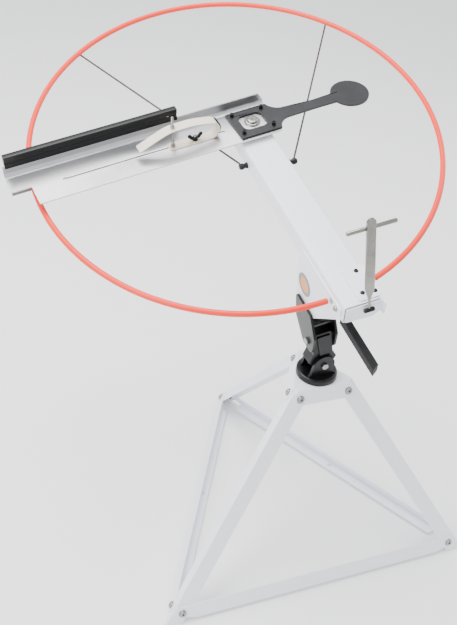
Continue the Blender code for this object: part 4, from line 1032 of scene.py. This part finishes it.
def thread_rows(radius, low, high, pitch):
    """Ridges of a screw thread, drawn as rings."""
    rows = []
    z = high
    while z - pitch > low:
        rows += [(radius * 0.86, z), (radius, z - pitch * 0.5)]
        z -= pitch
    return rows


post = [(0, 0.0840), (0.0021, 0.0840)] + thread_rows(0.0030, 0.0085, 0.0835, 0.0011)
post += [(0.0030, 0.0081), (0.0060, 0.0081, True), (0.0060, 0.0021, True), (0.0030, 0.0021),
    (0.0030, -0.0033),
         (0.0060, -0.0033), (0.0060, -0.0065), (0, -0.0065)]
turned("threaded_post", post, ARM @ Matrix.Translation(Vector((POST_X, 0.0050, 0))), ZINC, "clamp",
       stands_for=("clamp_post",), sides=24)
nut = [(0.0031, 0), (0.0052, 0, True), (0.0058, 0.0006, True), (0.0058, 0.0036, True),
    (0.0052, 0.0042, True), (0.0031, 0.0042), (0.0031, 0)]
turned("height_nut", nut, ARM @ Matrix.Translation(Vector((POST_X, 0.0050, 0.0568))), ZINC, "clamp",
    stands_for=("post_nut",))
bolt = [(0, 0.0160), (0.0021, 0.0160)] + thread_rows(0.0030, 0.0030, 0.0157, 0.0011)
bolt += [(0.0030, 0.0025), (0.0030, -0.0033), (0.0060, -0.0033), (0.0060, -0.0065), (0, -0.0065)]
turned("clamp_screw", bolt, ARM @ Matrix.Translation(Vector((0.1480, 0.0050, 0))), ZINC, "clamp",
       stands_for=("clamp_bolt",), sides=24)
print("clamp done")

# %% [markdown]
# ## Studio
# A pale floor runs on past the edges of the picture. One large soft light hangs overhead, a second
# fills from the left, and a bright surround keeps the white parts airy.

# %% floor and light
floor_mesh = bpy.data.meshes.new("floor")
SPAN = 14.0
floor_mesh.from_pydata([(-SPAN, -SPAN, -0.0006), (SPAN, -SPAN, -0.0006), (SPAN, SPAN, -0.0006),
    (-SPAN, SPAN, -0.0006)], [], [(0, 1, 2, 3)])
floor = bpy.data.objects.new("floor", floor_mesh)
bpy.context.scene.collection.objects.link(floor)
FLOOR = finish("studio_floor", (0.97, 0.97, 0.97), (0.96, 0.96, 0.96), 0.75, amount=0.3, drift=1.5,
    scale=300, depth=0.02)
floor_mesh.materials.append(FLOOR)
floor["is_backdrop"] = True


def soft_light(name, place, target, size, power, color=(1, 1, 1)):
    data = bpy.data.lights.new(name, "AREA")
    data.shape = "DISK"
    data.size = size
    data.energy = power
    data.color = color
    lamp = bpy.data.objects.new(name, data)
    bpy.context.scene.collection.objects.link(lamp)
    lamp.location = place
    lamp.rotation_mode = "QUATERNION"
    lamp.rotation_quaternion = (Vector(target) - Vector(place)).to_track_quat("-Z", "Y")


soft_light("overhead", (-0.6, 0.5, 3.4), (0, 0, 0.6), 2.4, 150)
soft_light("left_fill", (-3.0, -1.2, 2.2), (0, 0, 0.7), 2.0, 70)
soft_light("right_rim", (2.6, 0.8, 1.6), (0, 0, 0.7), 1.2, 14)
world = bpy.data.worlds.new("surround")
world.use_nodes = True
world.node_tree.nodes["Background"].inputs["Color"].default_value = (0.95, 0.97, 1.0, 1)
world.node_tree.nodes["Background"].inputs["Strength"].default_value = 1.35
bpy.context.scene.world = world
print("lights ready")

# %% finish
low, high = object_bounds()
print("visual box", [round(c, 3) for c in high - low])
